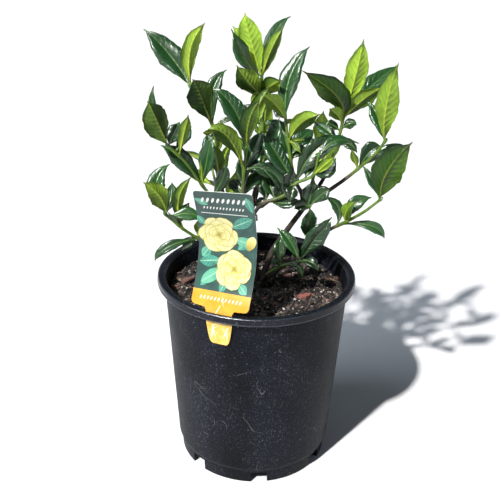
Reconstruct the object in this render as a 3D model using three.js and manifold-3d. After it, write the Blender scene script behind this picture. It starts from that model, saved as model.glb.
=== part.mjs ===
// A potted gardenia: a young shrub in a 200 mm nursery pot with potting mix and a plastic plant label.
// Millimetres, +Z up, the front faces -Y. The origin is the middle of the pot's underside.
import * as THREE from "three";
import { mergeVertices } from "three/addons/utils/BufferGeometryUtils.js";
import Module from "manifold-3d";

const wasm = await Module();
wasm.setup();

// The pot
const RIM_RADIUS = 100;
const POT_HEIGHT = 204.7;
const SKIRT_HEIGHT = 7.6;
const SKIRT_THICKNESS = 1.8;
const FLANGE_THICKNESS = 2;
const WALL_TOP_RADIUS = 93.5;
const WALL_LOW_RADIUS = 80.9;
const WALL_THICKNESS = 2.3;
const FOOT_RADIUS = 77.7;
const FOOT_HEIGHT = 14.7;
const FOOT_INNER_RADIUS = 72.5;
const BASE_DISC_RADIUS = 45;
const GUTTER_HEIGHT = 12;
const NOTCH_COUNT = 7;
const NOTCH_WIDTH = 17;
const NOTCH_HEIGHT = 11.8;
const FIRST_NOTCH_DEG = 5;
const DRAIN_HOLE_RADIUS = 5;
const DRAIN_HOLE_INSET = 8;
const FLOOR_CORNER = 3;
const POT_SIDES = 32;

// The potting mix
const MIX_LEVEL = 185;
const MIX_CROWN_RISE = 3;
const MIX_GRAIN = 1.8;
const SEAT_GAP = 0.3;
const CHIP_COUNT = 9;
const CHIP_THICKNESS = 3.4;

// The label
const LABEL_TURN_DEG = -21;
const LABEL_TWIST_DEG = 13;
const LABEL_LEAN = 0.008;
const LABEL_HALF_WIDTH = 27.2;
const LABEL_THICKNESS = 0.8;
const TONGUE_HALF_WIDTH = 13;
const SLOT_CLEARANCE = 0.4;

// The plant
const BLADE_THICKNESS = 0.7;
const BLADE_FOLD = 0.28;
const FOLD_SPREAD = 0.1;
const STALK_THICKNESS = 1.7;
const STALK_HALF_WIDTH = 1.1;
const STALK_SHARE = 0.03;
const ROOT_OFFSET = 1;
const TIP_HALF_WIDTH = 0.45;
const DRIP_START = 0.96;
const WAVE_SHARE = 0.05;
const WAVE_TURNS = 13;
const WAVE_LAG = 1.7;
const WIDEST_POWER = 1.2;
const WIDEST_SPREAD = 0.1;
const WIDEST_TURNS = 1.7;
const OUTLINE_POWER = 0.88;
const LEAN_BACK = 0.26;
const LEAN_FRONT = -0.08;
const LEAN_DROP = 0.3;
const INNER_SHARE = 0.55;
const CROWN = [3, 0, 190];
const TRUNK_RADIUS = 5.5;
const TRUNK_FOOT = 150;
const MAIN_RADIUS = 3;
const WOOD_RADIUS = 2.1;
const SHOOT_RADIUS = 1.6;
const STEM_SIDES = 5;
const STEM_STEP = 19;

// Materials
const potPlastic = new THREE.MeshStandardMaterial({ color: 0x1b1d21, roughness: 0.55, metalness: 0 });
const mixEarth = new THREE.MeshStandardMaterial({ color: 0x2f2722, roughness: 1, metalness: 0 });
const labelPlastic = new THREE.MeshStandardMaterial({ color: 0xe8bf45, roughness: 0.35, metalness: 0 });
const bark = new THREE.MeshStandardMaterial({ color: 0x6a5a48, roughness: 0.85, metalness: 0 });
const leafGreen = new THREE.MeshStandardMaterial({ color: 0x3e6b22, roughness: 0.35, metalness: 0 });

const vec = (p) => new THREE.Vector3(p[0], p[1], p[2]);
const radians = THREE.MathUtils.degToRad;

// A seeded draw from 0 to 1, the same on every run.
function drawer(seed) {
  let state = seed;
  return () => {
    state = (state * 1664525 + 1013904223) % 4294967296;
    return state / 4294967296;
  };
}

// Turns a closed geometry into a solid that can be joined and cut.
function solidOf(geometry) {
  const bare = geometry.clone();
  bare.deleteAttribute("normal");
  bare.deleteAttribute("uv");
  const merged = mergeVertices(bare, 1e-4);
  const vertProperties = merged.attributes.position.array;
  const triVerts = new Uint32Array(merged.index.array);
  return new wasm.Manifold(new wasm.Mesh({ numProp: 3, vertProperties, triVerts }));
}

const joined = (solids) => solids.reduce((whole, piece) => whole.add(piece));

// The largest body of a solid: loose scraps that a cut leaves are dropped.
function largestBody(solid) {
  const bodies = solid.decompose();
  return bodies.reduce((best, body) => (body.volume() > best.volume() ? body : best));
}

function meshOf(name, solid, material) {
  const data = solid.getMesh();
  const geometry = new THREE.BufferGeometry();
  geometry.setAttribute("position", new THREE.BufferAttribute(data.vertProperties, 3));
  geometry.setIndex(new THREE.BufferAttribute(data.triVerts, 1));
  geometry.computeVertexNormals();
  const mesh = new THREE.Mesh(geometry, material);
  mesh.name = name;
  return mesh;
}

// A solid turned about the Z axis from [radius, height] points that run up its outside to the axis.
function turned(profile, sides) {
  const points = profile.map(([r, z]) => new THREE.Vector2(r, z));
  return solidOf(new THREE.LatheGeometry(points, sides).rotateX(Math.PI / 2));
}

function block(width, depth, height, place) {
  return solidOf(new THREE.BoxGeometry(width, depth, height).applyMatrix4(place));
}

// A tube of one radius through the points, closed at both ends.
function tube(points, radius, sides = STEM_SIDES, step = STEM_STEP) {
  const path = new THREE.CatmullRomCurve3(points, false, "centripetal");
  const section = new THREE.Shape();
  for (let i = 0; i < sides; i++) {
    const angle = (i / sides) * 2 * Math.PI;
    const corner = [radius * Math.cos(angle), radius * Math.sin(angle)];
    if (i === 0) section.moveTo(...corner);
    else section.lineTo(...corner);
  }
  const steps = Math.max(2, Math.round(path.getLength() / step));
  return solidOf(new THREE.ExtrudeGeometry(section, { extrudePath: path, steps }));
}

// A thin closed sheet from rows of points: every row has the same count, and both faces are split alike.
function sheet(rows, thicknessAt, normalAt) {
  const across = rows[0].length;
  const positions = [];
  for (const side of [0.5, -0.5])
    rows.forEach((row, i) =>
      row.forEach((point, j) => {
        const shifted = point.clone().addScaledVector(normalAt(i, j), side * thicknessAt(i, j));
        positions.push(shifted.x, shifted.y, shifted.z);
      }),
    );
  const top = (i, j) => i * across + j;
  const bottom = (i, j) => rows.length * across + i * across + j;
  const faces = [];
  const quad = (a, b, c, d) => faces.push(a, b, c, a, c, d);
  const last = rows.length - 1;
  for (let i = 0; i < last; i++) {
    for (let j = 0; j < across - 1; j++) {
      quad(top(i, j), top(i, j + 1), top(i + 1, j + 1), top(i + 1, j));
      faces.push(bottom(i, j), bottom(i + 1, j + 1), bottom(i, j + 1));
      faces.push(bottom(i, j), bottom(i + 1, j), bottom(i + 1, j + 1));
    }
    quad(top(i, 0), top(i + 1, 0), bottom(i + 1, 0), bottom(i, 0));
    quad(top(i + 1, across - 1), top(i, across - 1), bottom(i, across - 1), bottom(i + 1, across - 1));
  }
  for (let j = 0; j < across - 1; j++) {
    quad(top(0, j + 1), top(0, j), bottom(0, j), bottom(0, j + 1));
    quad(top(last, j), top(last, j + 1), bottom(last, j + 1), bottom(last, j));
  }
  const geometry = new THREE.BufferGeometry();
  geometry.setAttribute("position", new THREE.Float32BufferAttribute(positions, 3));
  geometry.setIndex(faces);
  return solidOf(geometry);
}

// The pot: a tapered wall on a notched foot, with a flat flange and a short hanging skirt at the top.
function wallRadius(z) {
  const share = (z - FOOT_HEIGHT) / (POT_HEIGHT - FOOT_HEIGHT);
  return WALL_LOW_RADIUS + (WALL_TOP_RADIUS - WALL_LOW_RADIUS) * share;
}

function makePot() {
  const flangeUnder = POT_HEIGHT - FLANGE_THICKNESS;
  const skirtLow = POT_HEIGHT - SKIRT_HEIGHT;
  const skirtInside = RIM_RADIUS - SKIRT_THICKNESS;
  const floorTop = GUTTER_HEIGHT + WALL_THICKNESS;
  const inside = (z) => wallRadius(z) - WALL_THICKNESS;
  const profile = [
    [0, 0],
    [BASE_DISC_RADIUS, 0],
    [BASE_DISC_RADIUS + 2, GUTTER_HEIGHT],
    [FOOT_INNER_RADIUS - 1, GUTTER_HEIGHT],
    [FOOT_INNER_RADIUS, 0],
    [FOOT_RADIUS, 0],
    [FOOT_RADIUS + 0.6, FOOT_HEIGHT],
    [WALL_LOW_RADIUS - 1, FOOT_HEIGHT + 1.5],
    [wallRadius(FOOT_HEIGHT + 5), FOOT_HEIGHT + 5],
    [wallRadius(flangeUnder), flangeUnder],
    [skirtInside, flangeUnder],
    [skirtInside, skirtLow],
    [RIM_RADIUS, skirtLow],
    [RIM_RADIUS, POT_HEIGHT - 0.8],
    [RIM_RADIUS - 0.8, POT_HEIGHT],
    [WALL_TOP_RADIUS, POT_HEIGHT],
    [inside(POT_HEIGHT - 3), POT_HEIGHT - 3],
    [inside(floorTop + FLOOR_CORNER), floorTop + FLOOR_CORNER],
    [inside(floorTop) - FLOOR_CORNER, floorTop],
    [BASE_DISC_RADIUS, floorTop],
    [BASE_DISC_RADIUS - 2, WALL_THICKNESS],
    [0, WALL_THICKNESS],
  ];
  let pot = turned(profile, POT_SIDES);
  for (let i = 0; i < NOTCH_COUNT; i++) {
    const turn = radians(FIRST_NOTCH_DEG + (i * 360) / NOTCH_COUNT);
    const spin = new THREE.Matrix4().makeRotationZ(turn);
    const notchDepth = 2 * (FOOT_RADIUS - FOOT_INNER_RADIUS);
    const notchMiddle = -(FOOT_RADIUS + FOOT_INNER_RADIUS) / 2;
    const notchPlace = spin.multiply(new THREE.Matrix4().makeTranslation(0, notchMiddle, 0));
    pot = pot.subtract(block(NOTCH_WIDTH, notchDepth, 2 * NOTCH_HEIGHT, notchPlace));
    const hole = new THREE.CylinderGeometry(DRAIN_HOLE_RADIUS, DRAIN_HOLE_RADIUS, 4 * WALL_THICKNESS, 6);
    hole.rotateX(Math.PI / 2).translate(0, DRAIN_HOLE_INSET - FOOT_INNER_RADIUS, GUTTER_HEIGHT);
    hole.rotateZ(turn);
    pot = pot.subtract(solidOf(hole));
  }
  return pot.subtract(labelSlot());
}

// The label: a card bowed towards the plant, with a tongue that drops through a slot in the flange.
const LABEL_PROFILE = [
  [94.4, 172],
  [95.2, 188],
  [95.8, 199],
  [95.8, 206],
  [93.5, 213],
  [86, 227],
  [78.5, 244],
  [74.5, 265],
  [76.5, 286],
  [81.5, 304],
  [87, 320],
];
// Half widths by height: the tongue with its round tip, its shoulders, and the card with its round corners.
const LABEL_OUTLINE = [
  [172, 6.5],
  [175, 9.5],
  [181, 11],
  [192, TONGUE_HALF_WIDTH - 0.4],
  [199, TONGUE_HALF_WIDTH],
  [206, TONGUE_HALF_WIDTH],
  [209.2, TONGUE_HALF_WIDTH + 1.5],
  [210, LABEL_HALF_WIDTH - 2.5],
  [211, LABEL_HALF_WIDTH - 0.2],
  [213, LABEL_HALF_WIDTH + 1],
  [227, LABEL_HALF_WIDTH + 0.8],
  [244, LABEL_HALF_WIDTH + 0.4],
  [265, LABEL_HALF_WIDTH],
  [286, LABEL_HALF_WIDTH - 0.4],
  [304, LABEL_HALF_WIDTH - 0.8],
  [317, LABEL_HALF_WIDTH - 1],
  [319.2, LABEL_HALF_WIDTH - 2],
  [320, LABEL_HALF_WIDTH - 4],
];

// The card twists evenly from its foot to its top edge, round its own middle line.
function labelTurn(z) {
  const [foot, top] = [POT_HEIGHT, LABEL_PROFILE.at(-1)[1]];
  return radians(LABEL_TURN_DEG + (LABEL_TWIST_DEG * Math.max(0, z - foot)) / (top - foot));
}

function labelDirections(z = 0) {
  const turn = labelTurn(z);
  return {
    outward: new THREE.Vector3(Math.sin(turn), -Math.cos(turn), 0),
    sideways: new THREE.Vector3(Math.cos(turn), Math.sin(turn), 0),
  };
}

function makeLabel() {
  const { outward } = labelDirections();
  const curve = new THREE.CatmullRomCurve3(LABEL_PROFILE.map(([r, z]) => new THREE.Vector3(r, 0, z)));
  const samples = curve.getPoints(200);
  const radiusAt = (z) => {
    const i = Math.max(1, samples.findIndex((p) => p.z >= z));
    const share = (z - samples[i - 1].z) / (samples[i].z - samples[i - 1].z);
    return samples[i - 1].x + (samples[i].x - samples[i - 1].x) * share;
  };
  const columns = [-1, -0.45, 0.45, 1];
  const rows = LABEL_OUTLINE.map(([z, half]) =>
    columns.map((u) => {
      const point = outward.clone().multiplyScalar(radiusAt(Math.min(z, LABEL_PROFILE.at(-1)[1])));
      const edge = Math.abs(u) === 1 ? half : 0.45 * Math.min(half, TONGUE_HALF_WIDTH);
      const across = Math.sign(u) * edge - LABEL_LEAN * Math.max(0, z - POT_HEIGHT);
      return point.addScaledVector(labelDirections(z).sideways, across).setZ(z);
    }),
  );
  const lean = (i) => {
    const { sideways } = labelDirections(LABEL_OUTLINE[i][0]);
    const low = rows[Math.max(0, i - 1)];
    const high = rows[Math.min(rows.length - 1, i + 1)];
    const along = high[1].clone().add(high[2]).sub(low[1]).sub(low[2]);
    along.addScaledVector(sideways, -along.dot(sideways)).normalize();
    return sideways.clone().cross(along).normalize();
  };
  return sheet(rows, () => LABEL_THICKNESS, (i) => lean(i));
}

function labelSlot() {
  const { outward } = labelDirections();
  const middle = outward.multiplyScalar(LABEL_PROFILE[2][0]).setZ(POT_HEIGHT);
  const place = new THREE.Matrix4().makeRotationZ(radians(LABEL_TURN_DEG)).setPosition(middle);
  const width = 2 * (TONGUE_HALF_WIDTH + SLOT_CLEARANCE);
  return block(width, LABEL_THICKNESS + 2 * SLOT_CLEARANCE, 4 * FLANGE_THICKNESS, place);
}

// The potting mix fills the pot. Its top is uneven and holds bark chips, and the trunk stands in a hole.
function mixHeight(x, y) {
  const r = Math.hypot(x, y) / WALL_TOP_RADIUS;
  const lumps =
    Math.sin(x * 0.31 + 1.3) * Math.cos(y * 0.27 + 0.4) + 0.6 * Math.sin(x * 0.11 - y * 0.17 + 2.1);
  return MIX_LEVEL + MIX_CROWN_RISE * (1 - r * r) + MIX_GRAIN * lumps;
}

function makeMix() {
  const inside = (z) => wallRadius(z) - WALL_THICKNESS - SEAT_GAP;
  const floorTop = GUTTER_HEIGHT + WALL_THICKNESS + SEAT_GAP;
  const rings = [0.98, 0.8, 0.6, 0.4, 0.2];
  const profile = [
    [0, WALL_THICKNESS + SEAT_GAP],
    [BASE_DISC_RADIUS - 3, WALL_THICKNESS + SEAT_GAP],
    [BASE_DISC_RADIUS - 1, floorTop],
    [inside(floorTop) - FLOOR_CORNER - SEAT_GAP, floorTop],
    [inside(floorTop + FLOOR_CORNER), floorTop + FLOOR_CORNER + SEAT_GAP],
    [inside(MIX_LEVEL - 3 * MIX_GRAIN), MIX_LEVEL - 3 * MIX_GRAIN],
    ...rings.map((share) => [inside(MIX_LEVEL) * share, MIX_LEVEL]),
    [0, MIX_LEVEL],
  ].map(([r, z]) => new THREE.Vector2(r, z));
  const geometry = new THREE.LatheGeometry(profile, POT_SIDES).rotateX(Math.PI / 2);
  const spots = geometry.attributes.position;
  for (let i = 0; i < spots.count; i++)
    if (spots.getZ(i) > MIX_LEVEL - 1) spots.setZ(i, mixHeight(spots.getX(i), spots.getY(i)));
  const depth = 2 * (CROWN[2] - TRUNK_FOOT);
  const hole = new THREE.CylinderGeometry(TRUNK_RADIUS + SEAT_GAP, TRUNK_RADIUS + SEAT_GAP, depth, 12);
  hole.rotateX(Math.PI / 2).translate(CROWN[0], CROWN[1], TRUNK_FOOT + depth / 2 - SEAT_GAP);
  return largestBody(joined([solidOf(geometry), ...barkChips()]).subtract(solidOf(hole)));
}

// Bark chips: [x, y, length, width, turn], half sunk in the mix, and some more strewn by the draw.
const LARGE_CHIPS = [
  [46, -19, 17, 9, 20],
  [30, 25, 14, 8, -8],
  [-70, 11, 15, 8, 30],
];

function barkChips() {
  const draw = drawer(7);
  const chips = LARGE_CHIPS.map((chip) => [...chip]);
  while (chips.length < LARGE_CHIPS.length + CHIP_COUNT) {
    const angle = draw() * 2 * Math.PI;
    const radius = 25 + 50 * draw();
    const spot = [radius * Math.cos(angle), radius * Math.sin(angle)];
    chips.push([...spot, 6 + 5 * draw(), 4 + 2 * draw(), 180 * draw()]);
  }
  return chips.map(([x, y, length, width, turn]) => {
    const tilt = new THREE.Euler(radians(8), radians(-6), radians(turn));
    const place = new THREE.Matrix4().makeRotationFromEuler(tilt).setPosition(x, y, mixHeight(x, y) + 0.6);
    return block(length, width, CHIP_THICKNESS, place);
  });
}

// A leaf row: the stem point it grows from, how far its tip reaches, its width, the side it turns to the
// front, how far the middle of its midrib bows off the straight line, and its turn about itself in degrees.
const TOP = 1;
const UNDER = -1;
const FREE = 0;
const TO_FRONT = new THREE.Vector3(0, -0.9, 0.5);

// A leaf that shows its top leans back by a share of its length, and one that shows its underside leans
// forward. It drops or rises with that, so that it looks as tall from the front.
function leaf(node, reach, width, side, bow = [0, 0, 0], turn = 0) {
  const share = side === TOP ? LEAN_BACK : side * -LEAN_FRONT;
  const lean = share * Math.hypot(...reach);
  const leant = [reach[0], reach[1] + lean, reach[2] - lean * LEAN_DROP];
  return { node, reach: leant, width, side, bow, turn };
}

// Half the blade's width at a share t of its length: a stalk, a long wedge, widest past the middle, and a
// narrow drip tip.
function bladeHalfWidth(t, width, widest) {
  const along = Math.max(0, (t - STALK_SHARE) / (1 - STALK_SHARE));
  const swell = Math.sin(Math.PI * Math.min(along / DRIP_START, 1) ** widest);
  const blade = (width / 2) * Math.max(swell, 0) ** OUTLINE_POWER;
  return Math.max(TIP_HALF_WIDTH, STALK_HALF_WIDTH * (1 - t), blade);
}

// Where the blade's cross rows lie along its length: fewer on a short leaf.
function bladeStations(length) {
  if (length < 32) return [0, 0.5, 1];
  if (length < 46) return [0, 0.3, 0.68, 1];
  return [0, 0.22, 0.5, 0.78, 1];
}

function makeLeaf(root, axis, { reach, width, side, bow, turn }, phase) {
  const tip = root.clone().add(vec(reach));
  const middle = root.clone().add(tip).multiplyScalar(0.5).addScaledVector(vec(bow), 2);
  const midrib = new THREE.QuadraticBezierCurve3(root, middle, tip);
  const stations = bladeStations(midrib.getLength());
  const chord = vec(reach).normalize();
  const inner = axis.clone().addScaledVector(chord, -axis.dot(chord)).normalize();
  const facing = inner.multiplyScalar(side === FREE ? 1 : INNER_SHARE).addScaledVector(TO_FRONT, side);
  facing.applyAxisAngle(chord, radians(turn));
  const fold = BLADE_FOLD + FOLD_SPREAD * Math.sin(phase);
  const widest = WIDEST_POWER + WIDEST_SPREAD * Math.sin(WIDEST_TURNS * phase);
  const normals = [];
  const rows = stations.map((t) => {
    const point = midrib.getPoint(t);
    const tangent = midrib.getTangent(t);
    const normal = facing.clone().addScaledVector(tangent, -facing.dot(tangent)).normalize();
    const across = tangent.clone().cross(normal).normalize();
    const half = bladeHalfWidth(t, width, widest);
    const waved = t > STALK_SHARE && t < 1 ? WAVE_SHARE * width : 0;
    normals.push(normal);
    return [-1, 0, 1].map((u) => {
      const lift = Math.abs(u) * (half * fold + waved * Math.sin(WAVE_TURNS * t + phase + WAVE_LAG * u));
      return point.clone().addScaledVector(across, u * half).addScaledVector(normal, lift);
    });
  });
  const thickness = (i) => [STALK_THICKNESS, (STALK_THICKNESS + BLADE_THICKNESS) / 2][i] ?? BLADE_THICKNESS;
  return sheet(rows, thickness, (i) => normals[i]);
}

// A bud: a slim spindle at the end of a stem.
function makeBud(tip, direction, length) {
  const outline = [
    [0, -2],
    [1.5, 0],
    [1.6, length * 0.4],
    [0, length],
  ].map(([r, y]) => new THREE.Vector2(r, y));
  const turn = new THREE.Quaternion().setFromUnitVectors(new THREE.Vector3(0, 1, 0), direction);
  const geometry = new THREE.LatheGeometry(outline, STEM_SIDES).applyQuaternion(turn);
  return solidOf(geometry.translate(tip.x, tip.y, tip.z));
}

// The shrub. Each shoot has its stem points from the wood to the tip, how many of them are wood, its bud's
// length and its leaves. Some also carry whorls: [stem point, leaf count, leaf length], set by rule.
const FORK = [45, 10, 270];
const SHOOTS = [
  {
    name: "shoot_left_tall",
    stem: [
      CROWN, [-10, 1, 222], [-24, 2, 256], [-33, 3, 284],
      [-39, 4, 305], [-44, 5, 352], [-56, 8, 373], [-65, 10, 389],
    ],
    wood: 4,
    bud: 6,
    leaves: [
      leaf(7, [-44, 4, 54], 24, TOP, [4, 2, -0.8]),
      leaf(7, [14, -4, 57], 16, UNDER, [-6.8, 0, 4.5]),
      leaf(5.1, [-15, -19, 46], 26, UNDER, [-1, -4, 5], 12),
      leaf(5, [11, 10, 54], 16, TOP, [-7, 2, 4]),
      leaf(5, [19, -4, 9], 6, TOP, [0, 0, 3]),
      leaf(4.9, [-9, -10, 2], 6, UNDER),
      leaf(4, [-4, -12, 34], 15, UNDER, [1, -2, 1]),
      leaf(4.1, [-10, 12, 34], 16, TOP, [-2, 1, 2]),
    ],
  },
  {
    name: "shoot_left_middle",
    stem: [[-24, 2, 256], [-39, -8, 279], [-53, -15, 301], [-68, -24, 327], [-83, -30, 344]],
    wood: 2,
    bud: 4,
    leaves: [
      leaf(4, [-14, -14, 44], 27, UNDER, [0, -4, 2]),
      leaf(4, [-13, -8, 57], 9, TOP, [-5.5, 0, 0]),
      leaf(4, [9, 6, 21], 16, TOP),
      leaf(3.4, [10, -4, 38], 12, UNDER, [0, 0, 2]),
      leaf(2, [-37, -23, 46], 18, TOP, [2, 0, 4]),
      leaf(2, [-1, -8, 26], 5, UNDER),
      leaf(2.05, [9, -12, 50], 18, TOP, [0, 0, 0]),
      leaf(1.4, [13, -10, 36], 15, TOP, [3, 0, 1]),
      leaf(3.6, [13, 10, 22], 13, TOP),
      leaf(1.1, [-16, -4, -2], 12, TOP, [0, 0, 3]),
      leaf(1.6, [9, -8, -10], 12, TOP),
    ],
  },
  {
    name: "shoot_centre",
    stem: [
      CROWN, [-5, -3, 225], [-12, -7, 258], [-15, -8, 285],
      [-14, -10, 316], [-12, -12, 338], [-11, -12, 348],
    ],
    wood: 4,
    bud: 8,
    leaves: [
      leaf(4, [-32, -24, 45], 19, UNDER, [2, -6, 14]),
      leaf(5, [-33, -4, 58], 20, TOP, [5, 0, 7]),
      leaf(4.9, [-30, -12, 18], 12, TOP, [1, -1, 4]),
      leaf(5, [11, -6, 46], 17, UNDER, [-4, -5, 4]),
      leaf(5, [21, 22, 52], 16, UNDER, [-3, -1, 5]),
      leaf(4, [32, -8, -10], 14, TOP, [0, 0, 8]),
      leaf(3.6, [14, 6, 34], 17, TOP, [2, 0, 2]),
      leaf(3.4, [-4, 8, 27], 12, TOP, [1, 0, 0]),
      leaf(2.2, [12, -8, 3], 14, TOP, [0, 0, 2]),
      leaf(4, [16, 14, 34], 17, TOP),
      leaf(3.1, [20, 12, 22], 17, TOP, [0, 0, 3]),
      leaf(3.15, [-14, 8, 10], 14, TOP, [0, 0, 3]),
    ],
  },
  {
    name: "shoot_top",
    stem: [CROWN, [-6, 6, 230], [-6, 10, 268], [-1, 14, 303], [3, 20, 346], [2, 24, 378], [1, 26, 396]],
    wood: 4,
    bud: 8,
    leaves: [
      leaf(6, [-17, -4, 57], 22, UNDER, [-2, -2, 4]),
      leaf(6, [-28, 10, 43], 19, UNDER, [2, 0, 3]),
      leaf(6, [-27, -36, 52], 22, TOP, [-2, -6, -4]),
      leaf(6, [26.5, 24, 56], 12, TOP, [-6, 2, 4]),
      leaf(6, [19, 2, 46], 13, UNDER, [-3, -2, -1]),
      leaf(6, [14, 18, 32], 11, UNDER, [0, 2, 1]),
      leaf(5, [-24, -20, 32], 22, UNDER, [1, -4, -2]),
      leaf(5, [16, -18, 19], 19, UNDER, [-2, -2, 2]),
      leaf(5, [-10, -18, -4], 11, UNDER, [0, -1, 4]),
      leaf(4.2, [24, -6, -14], 15, TOP, [0, 0, 6]),
      leaf(4.1, [-19, 6, 20], 16, TOP, [0, 0, 2]),
      leaf(3.5, [16, -8, 36], 18, TOP, [3, 0, 0]),
      leaf(3.4, [26, 12, 10], 18, TOP, [0, 0, 5]),
      leaf(4.5, [3, -6, 22], 13, UNDER, [1, -2, 2]),
      leaf(4, [13, 8, -22], 16, TOP, [4, 0, 2]),
      leaf(3.2, [-15, 10, 24], 16, TOP),
      leaf(2.1, [15, -10, 6], 14, TOP, [0, 0, 2]),
      leaf(3.1, [22, 12, -8], 16, TOP, [0, 0, 4]),
      leaf(3.15, [-18, 10, -6], 14, TOP, [0, 0, 3]),
    ],
  },
  {
    name: "shoot_centre_right",
    stem: [FORK, [42, 5, 288], [35, 0, 303], [30, -2, 324], [27, 0, 342], [24, 4, 362]],
    wood: 3,
    bud: 12,
    leaves: [
      leaf(5, [-20, -26, 27], 16, UNDER, [0, -3, 4]),
      leaf(5, [20, 4, 69], 21, TOP, [-8, 1, 1]),
      leaf(5, [-12, 4, 10], 11, TOP, [2, -1, -1]),
      leaf(4, [26, -18, 30], 18, UNDER, [-3, -1, 5]),
      leaf(4, [11, -10, -8], 7, UNDER, [0, 0, 3]),
      leaf(4, [14, -8, 4], 6, UNDER),
      leaf(3.2, [22, 14, 22], 17, TOP, [0, 0, 4]),
      leaf(3.1, [-8, 4, 26], 15, TOP),
      leaf(3, [16, 10, 6], 15, TOP, [0, 0, 4]),
    ],
  },
  {
    name: "shoot_front",
    stem: [[-12, -7, 258], [4, -8, 281], [23, -12, 291], [35, -12, 304], [51, -15, 314], [55, -15, 332]],
    wood: 2,
    bud: 5,
    leaves: [
      leaf(1.3, [30, -12, 6], 12, TOP, [1, 0, -3]),
      leaf(1.2, [-2, 4, 20], 15, TOP),
      leaf(2, [-20, -16, 32], 15, TOP, [5, 0, 4]),
      leaf(3, [-32, 0, 50], 22, TOP, [-1, -2, 1]),
      leaf(2.8, [-17, 4, 22], 14, TOP, [0, 1, 2]),
      leaf(3, [41, -4, 49], 19, TOP, [-6, 0, 6]),
      leaf(5, [32, 5, 12], 13, TOP, [-3, 0, 8]),
      leaf(4, [20, -4, 18], 19, TOP, [0, -2, -3]),
      leaf(4, [17, -12, 22], 9, UNDER),
      leaf(2.9, [-4, -14, -12], 14, TOP, [0, 0, 3]),
      leaf(1.6, [10, -8, 22], 15, TOP),
      leaf(3.5, [8, 12, 24], 16, TOP),
      leaf(2.3, [6, -4, 22], 17, TOP, [0, 0, 2]),
      leaf(1.6, [-10, 8, 24], 17, TOP),
      leaf(1.9, [14, -6, 10], 14, TOP),
    ],
  },
  {
    name: "shoot_fork",
    stem: [FORK, [47, 2, 274], [50, -4, 278]],
    wood: 2,
    bud: 3,
    leaves: [
      leaf(2, [-2, 6, -36], 17, TOP, [2, -3, 2]),
      leaf(2, [-14, -8, 0], 12, TOP, [0, 0, 2]),
      leaf(2, [19, -9, 20], 15, TOP, [0, 0, 3]),
      leaf(1.2, [6, -10, 30], 18, TOP),
    ],
  },
  {
    name: "shoot_right_back",
    stem: [FORK, [51, 14, 278], [66, 22, 301], [77, 28, 335], [81, 30, 357]],
    wood: 3,
    bud: 6,
    leaves: [
      leaf(4, [-43, -22, 48], 25, UNDER, [12, -4, 0.5]),
      leaf(4, [11, -14, 75], 21, UNDER, [1.5, 1, 1]),
      leaf(4, [31, -16, 33], 17, UNDER, [0, 1, 3]),
      leaf(4, [55, 18, 51], 19, TOP, [-4, 1, 0]),
      leaf(3, [18, -14, -7], 12, TOP, [0, 0, 3]),
      leaf(3, [-22, 14, 14], 15, TOP, [0, 1, 1]),
      leaf(2.8, [-10, 8, -18], 14, TOP, [-3, 0, 2]),
      leaf(3.5, [14, -6, 6], 13, TOP, [0, 0, 3]),
      leaf(3.8, [-14, -14, 16], 14, UNDER, [0, -1, 2]),
      leaf(3.4, [-14, -6, 8], 12, TOP, [0, 0, 2]),
    ],
  },
  {
    name: "shoot_right",
    stem: [FORK, [53, 9, 278], [67, 5, 290], [84, 0, 306], [94, -4, 317], [109, -10, 335], [116, -12, 347]],
    wood: 4,
    bud: 4,
    leaves: [
      leaf(6, [0, -20, 75], 22, UNDER, [-5, -4, -5]),
      leaf(6, [-15, 13, 34], 15, TOP, [2, 2, 1]),
      leaf(4, [20, -4, 24], 17, TOP, [-1, -1, 5]),
      leaf(4, [-8, -6, 20], 8, UNDER),
      leaf(4, [45, -16, 28], 11, TOP, [-1, -1, 6]),
    ],
  },
  {
    name: "shoot_right_low",
    stem: [
      CROWN, [28, 4, 210], [52, 4, 236], [72, -3, 254],
      [86, -16, 268], [101, -26, 283], [113, -32, 297],
    ],
    wood: 4,
    bud: 4,
    leaves: [
      leaf(6, [19, -18, 61], 29, UNDER, [-8.5, -3, 0], 20),
      leaf(6, [-15, 10, 29], 9, TOP, [1, 1, -1]),
      leaf(4, [22, -4, 25], 14, TOP, [-6, -1, 5]),
      leaf(3.4, [-13, -6, 31], 11, TOP, [7, 1, 2]),
      leaf(3.7, [41, -18, -9], 11, TOP, [6, -3, 7]),
      leaf(3.9, [6, -8, 24], 15, UNDER, [-4, 0, 0]),
    ],
  },
  {
    name: "shoot_left_low",
    stem: [CROWN, [-16, -5, 210], [-35, -10, 230], [-58, -20, 249], [-72, -25, 261], [-87, -30, 277]],
    wood: 3,
    bud: 4,
    leaves: [
      leaf(5, [-17, -14, 37], 20, UNDER, [6, -3, 2]),
      leaf(5, [2, 10, 46], 19, TOP, [-11, 1, 2]),
      leaf(5, [4, 12, 27], 14, TOP, [2, -1, 0]),
      leaf(4, [9, 6, 49], 13, UNDER, [-8, -1, 3]),
      leaf(4.8, [31, -6, 0], 14, TOP, [0, 0, 5]),
      leaf(4, [-12, -14, 20], 8, TOP),
      leaf(3, [-41, -24, -16], 11, TOP, [-6, -4, 5]),
      leaf(3, [-14, -12, -8], 12, TOP, [0, 0, 3]),
      leaf(3, [3, 6, 18], 12, UNDER),
      leaf(4.3, [10, 4, 20], 13, TOP),
    ],
  },
  {
    name: "shoot_front_low",
    stem: [CROWN, [10, -4, 203], [25, -8, 215], [42, -12, 222]],
    wood: 2,
    bud: 5,
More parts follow.
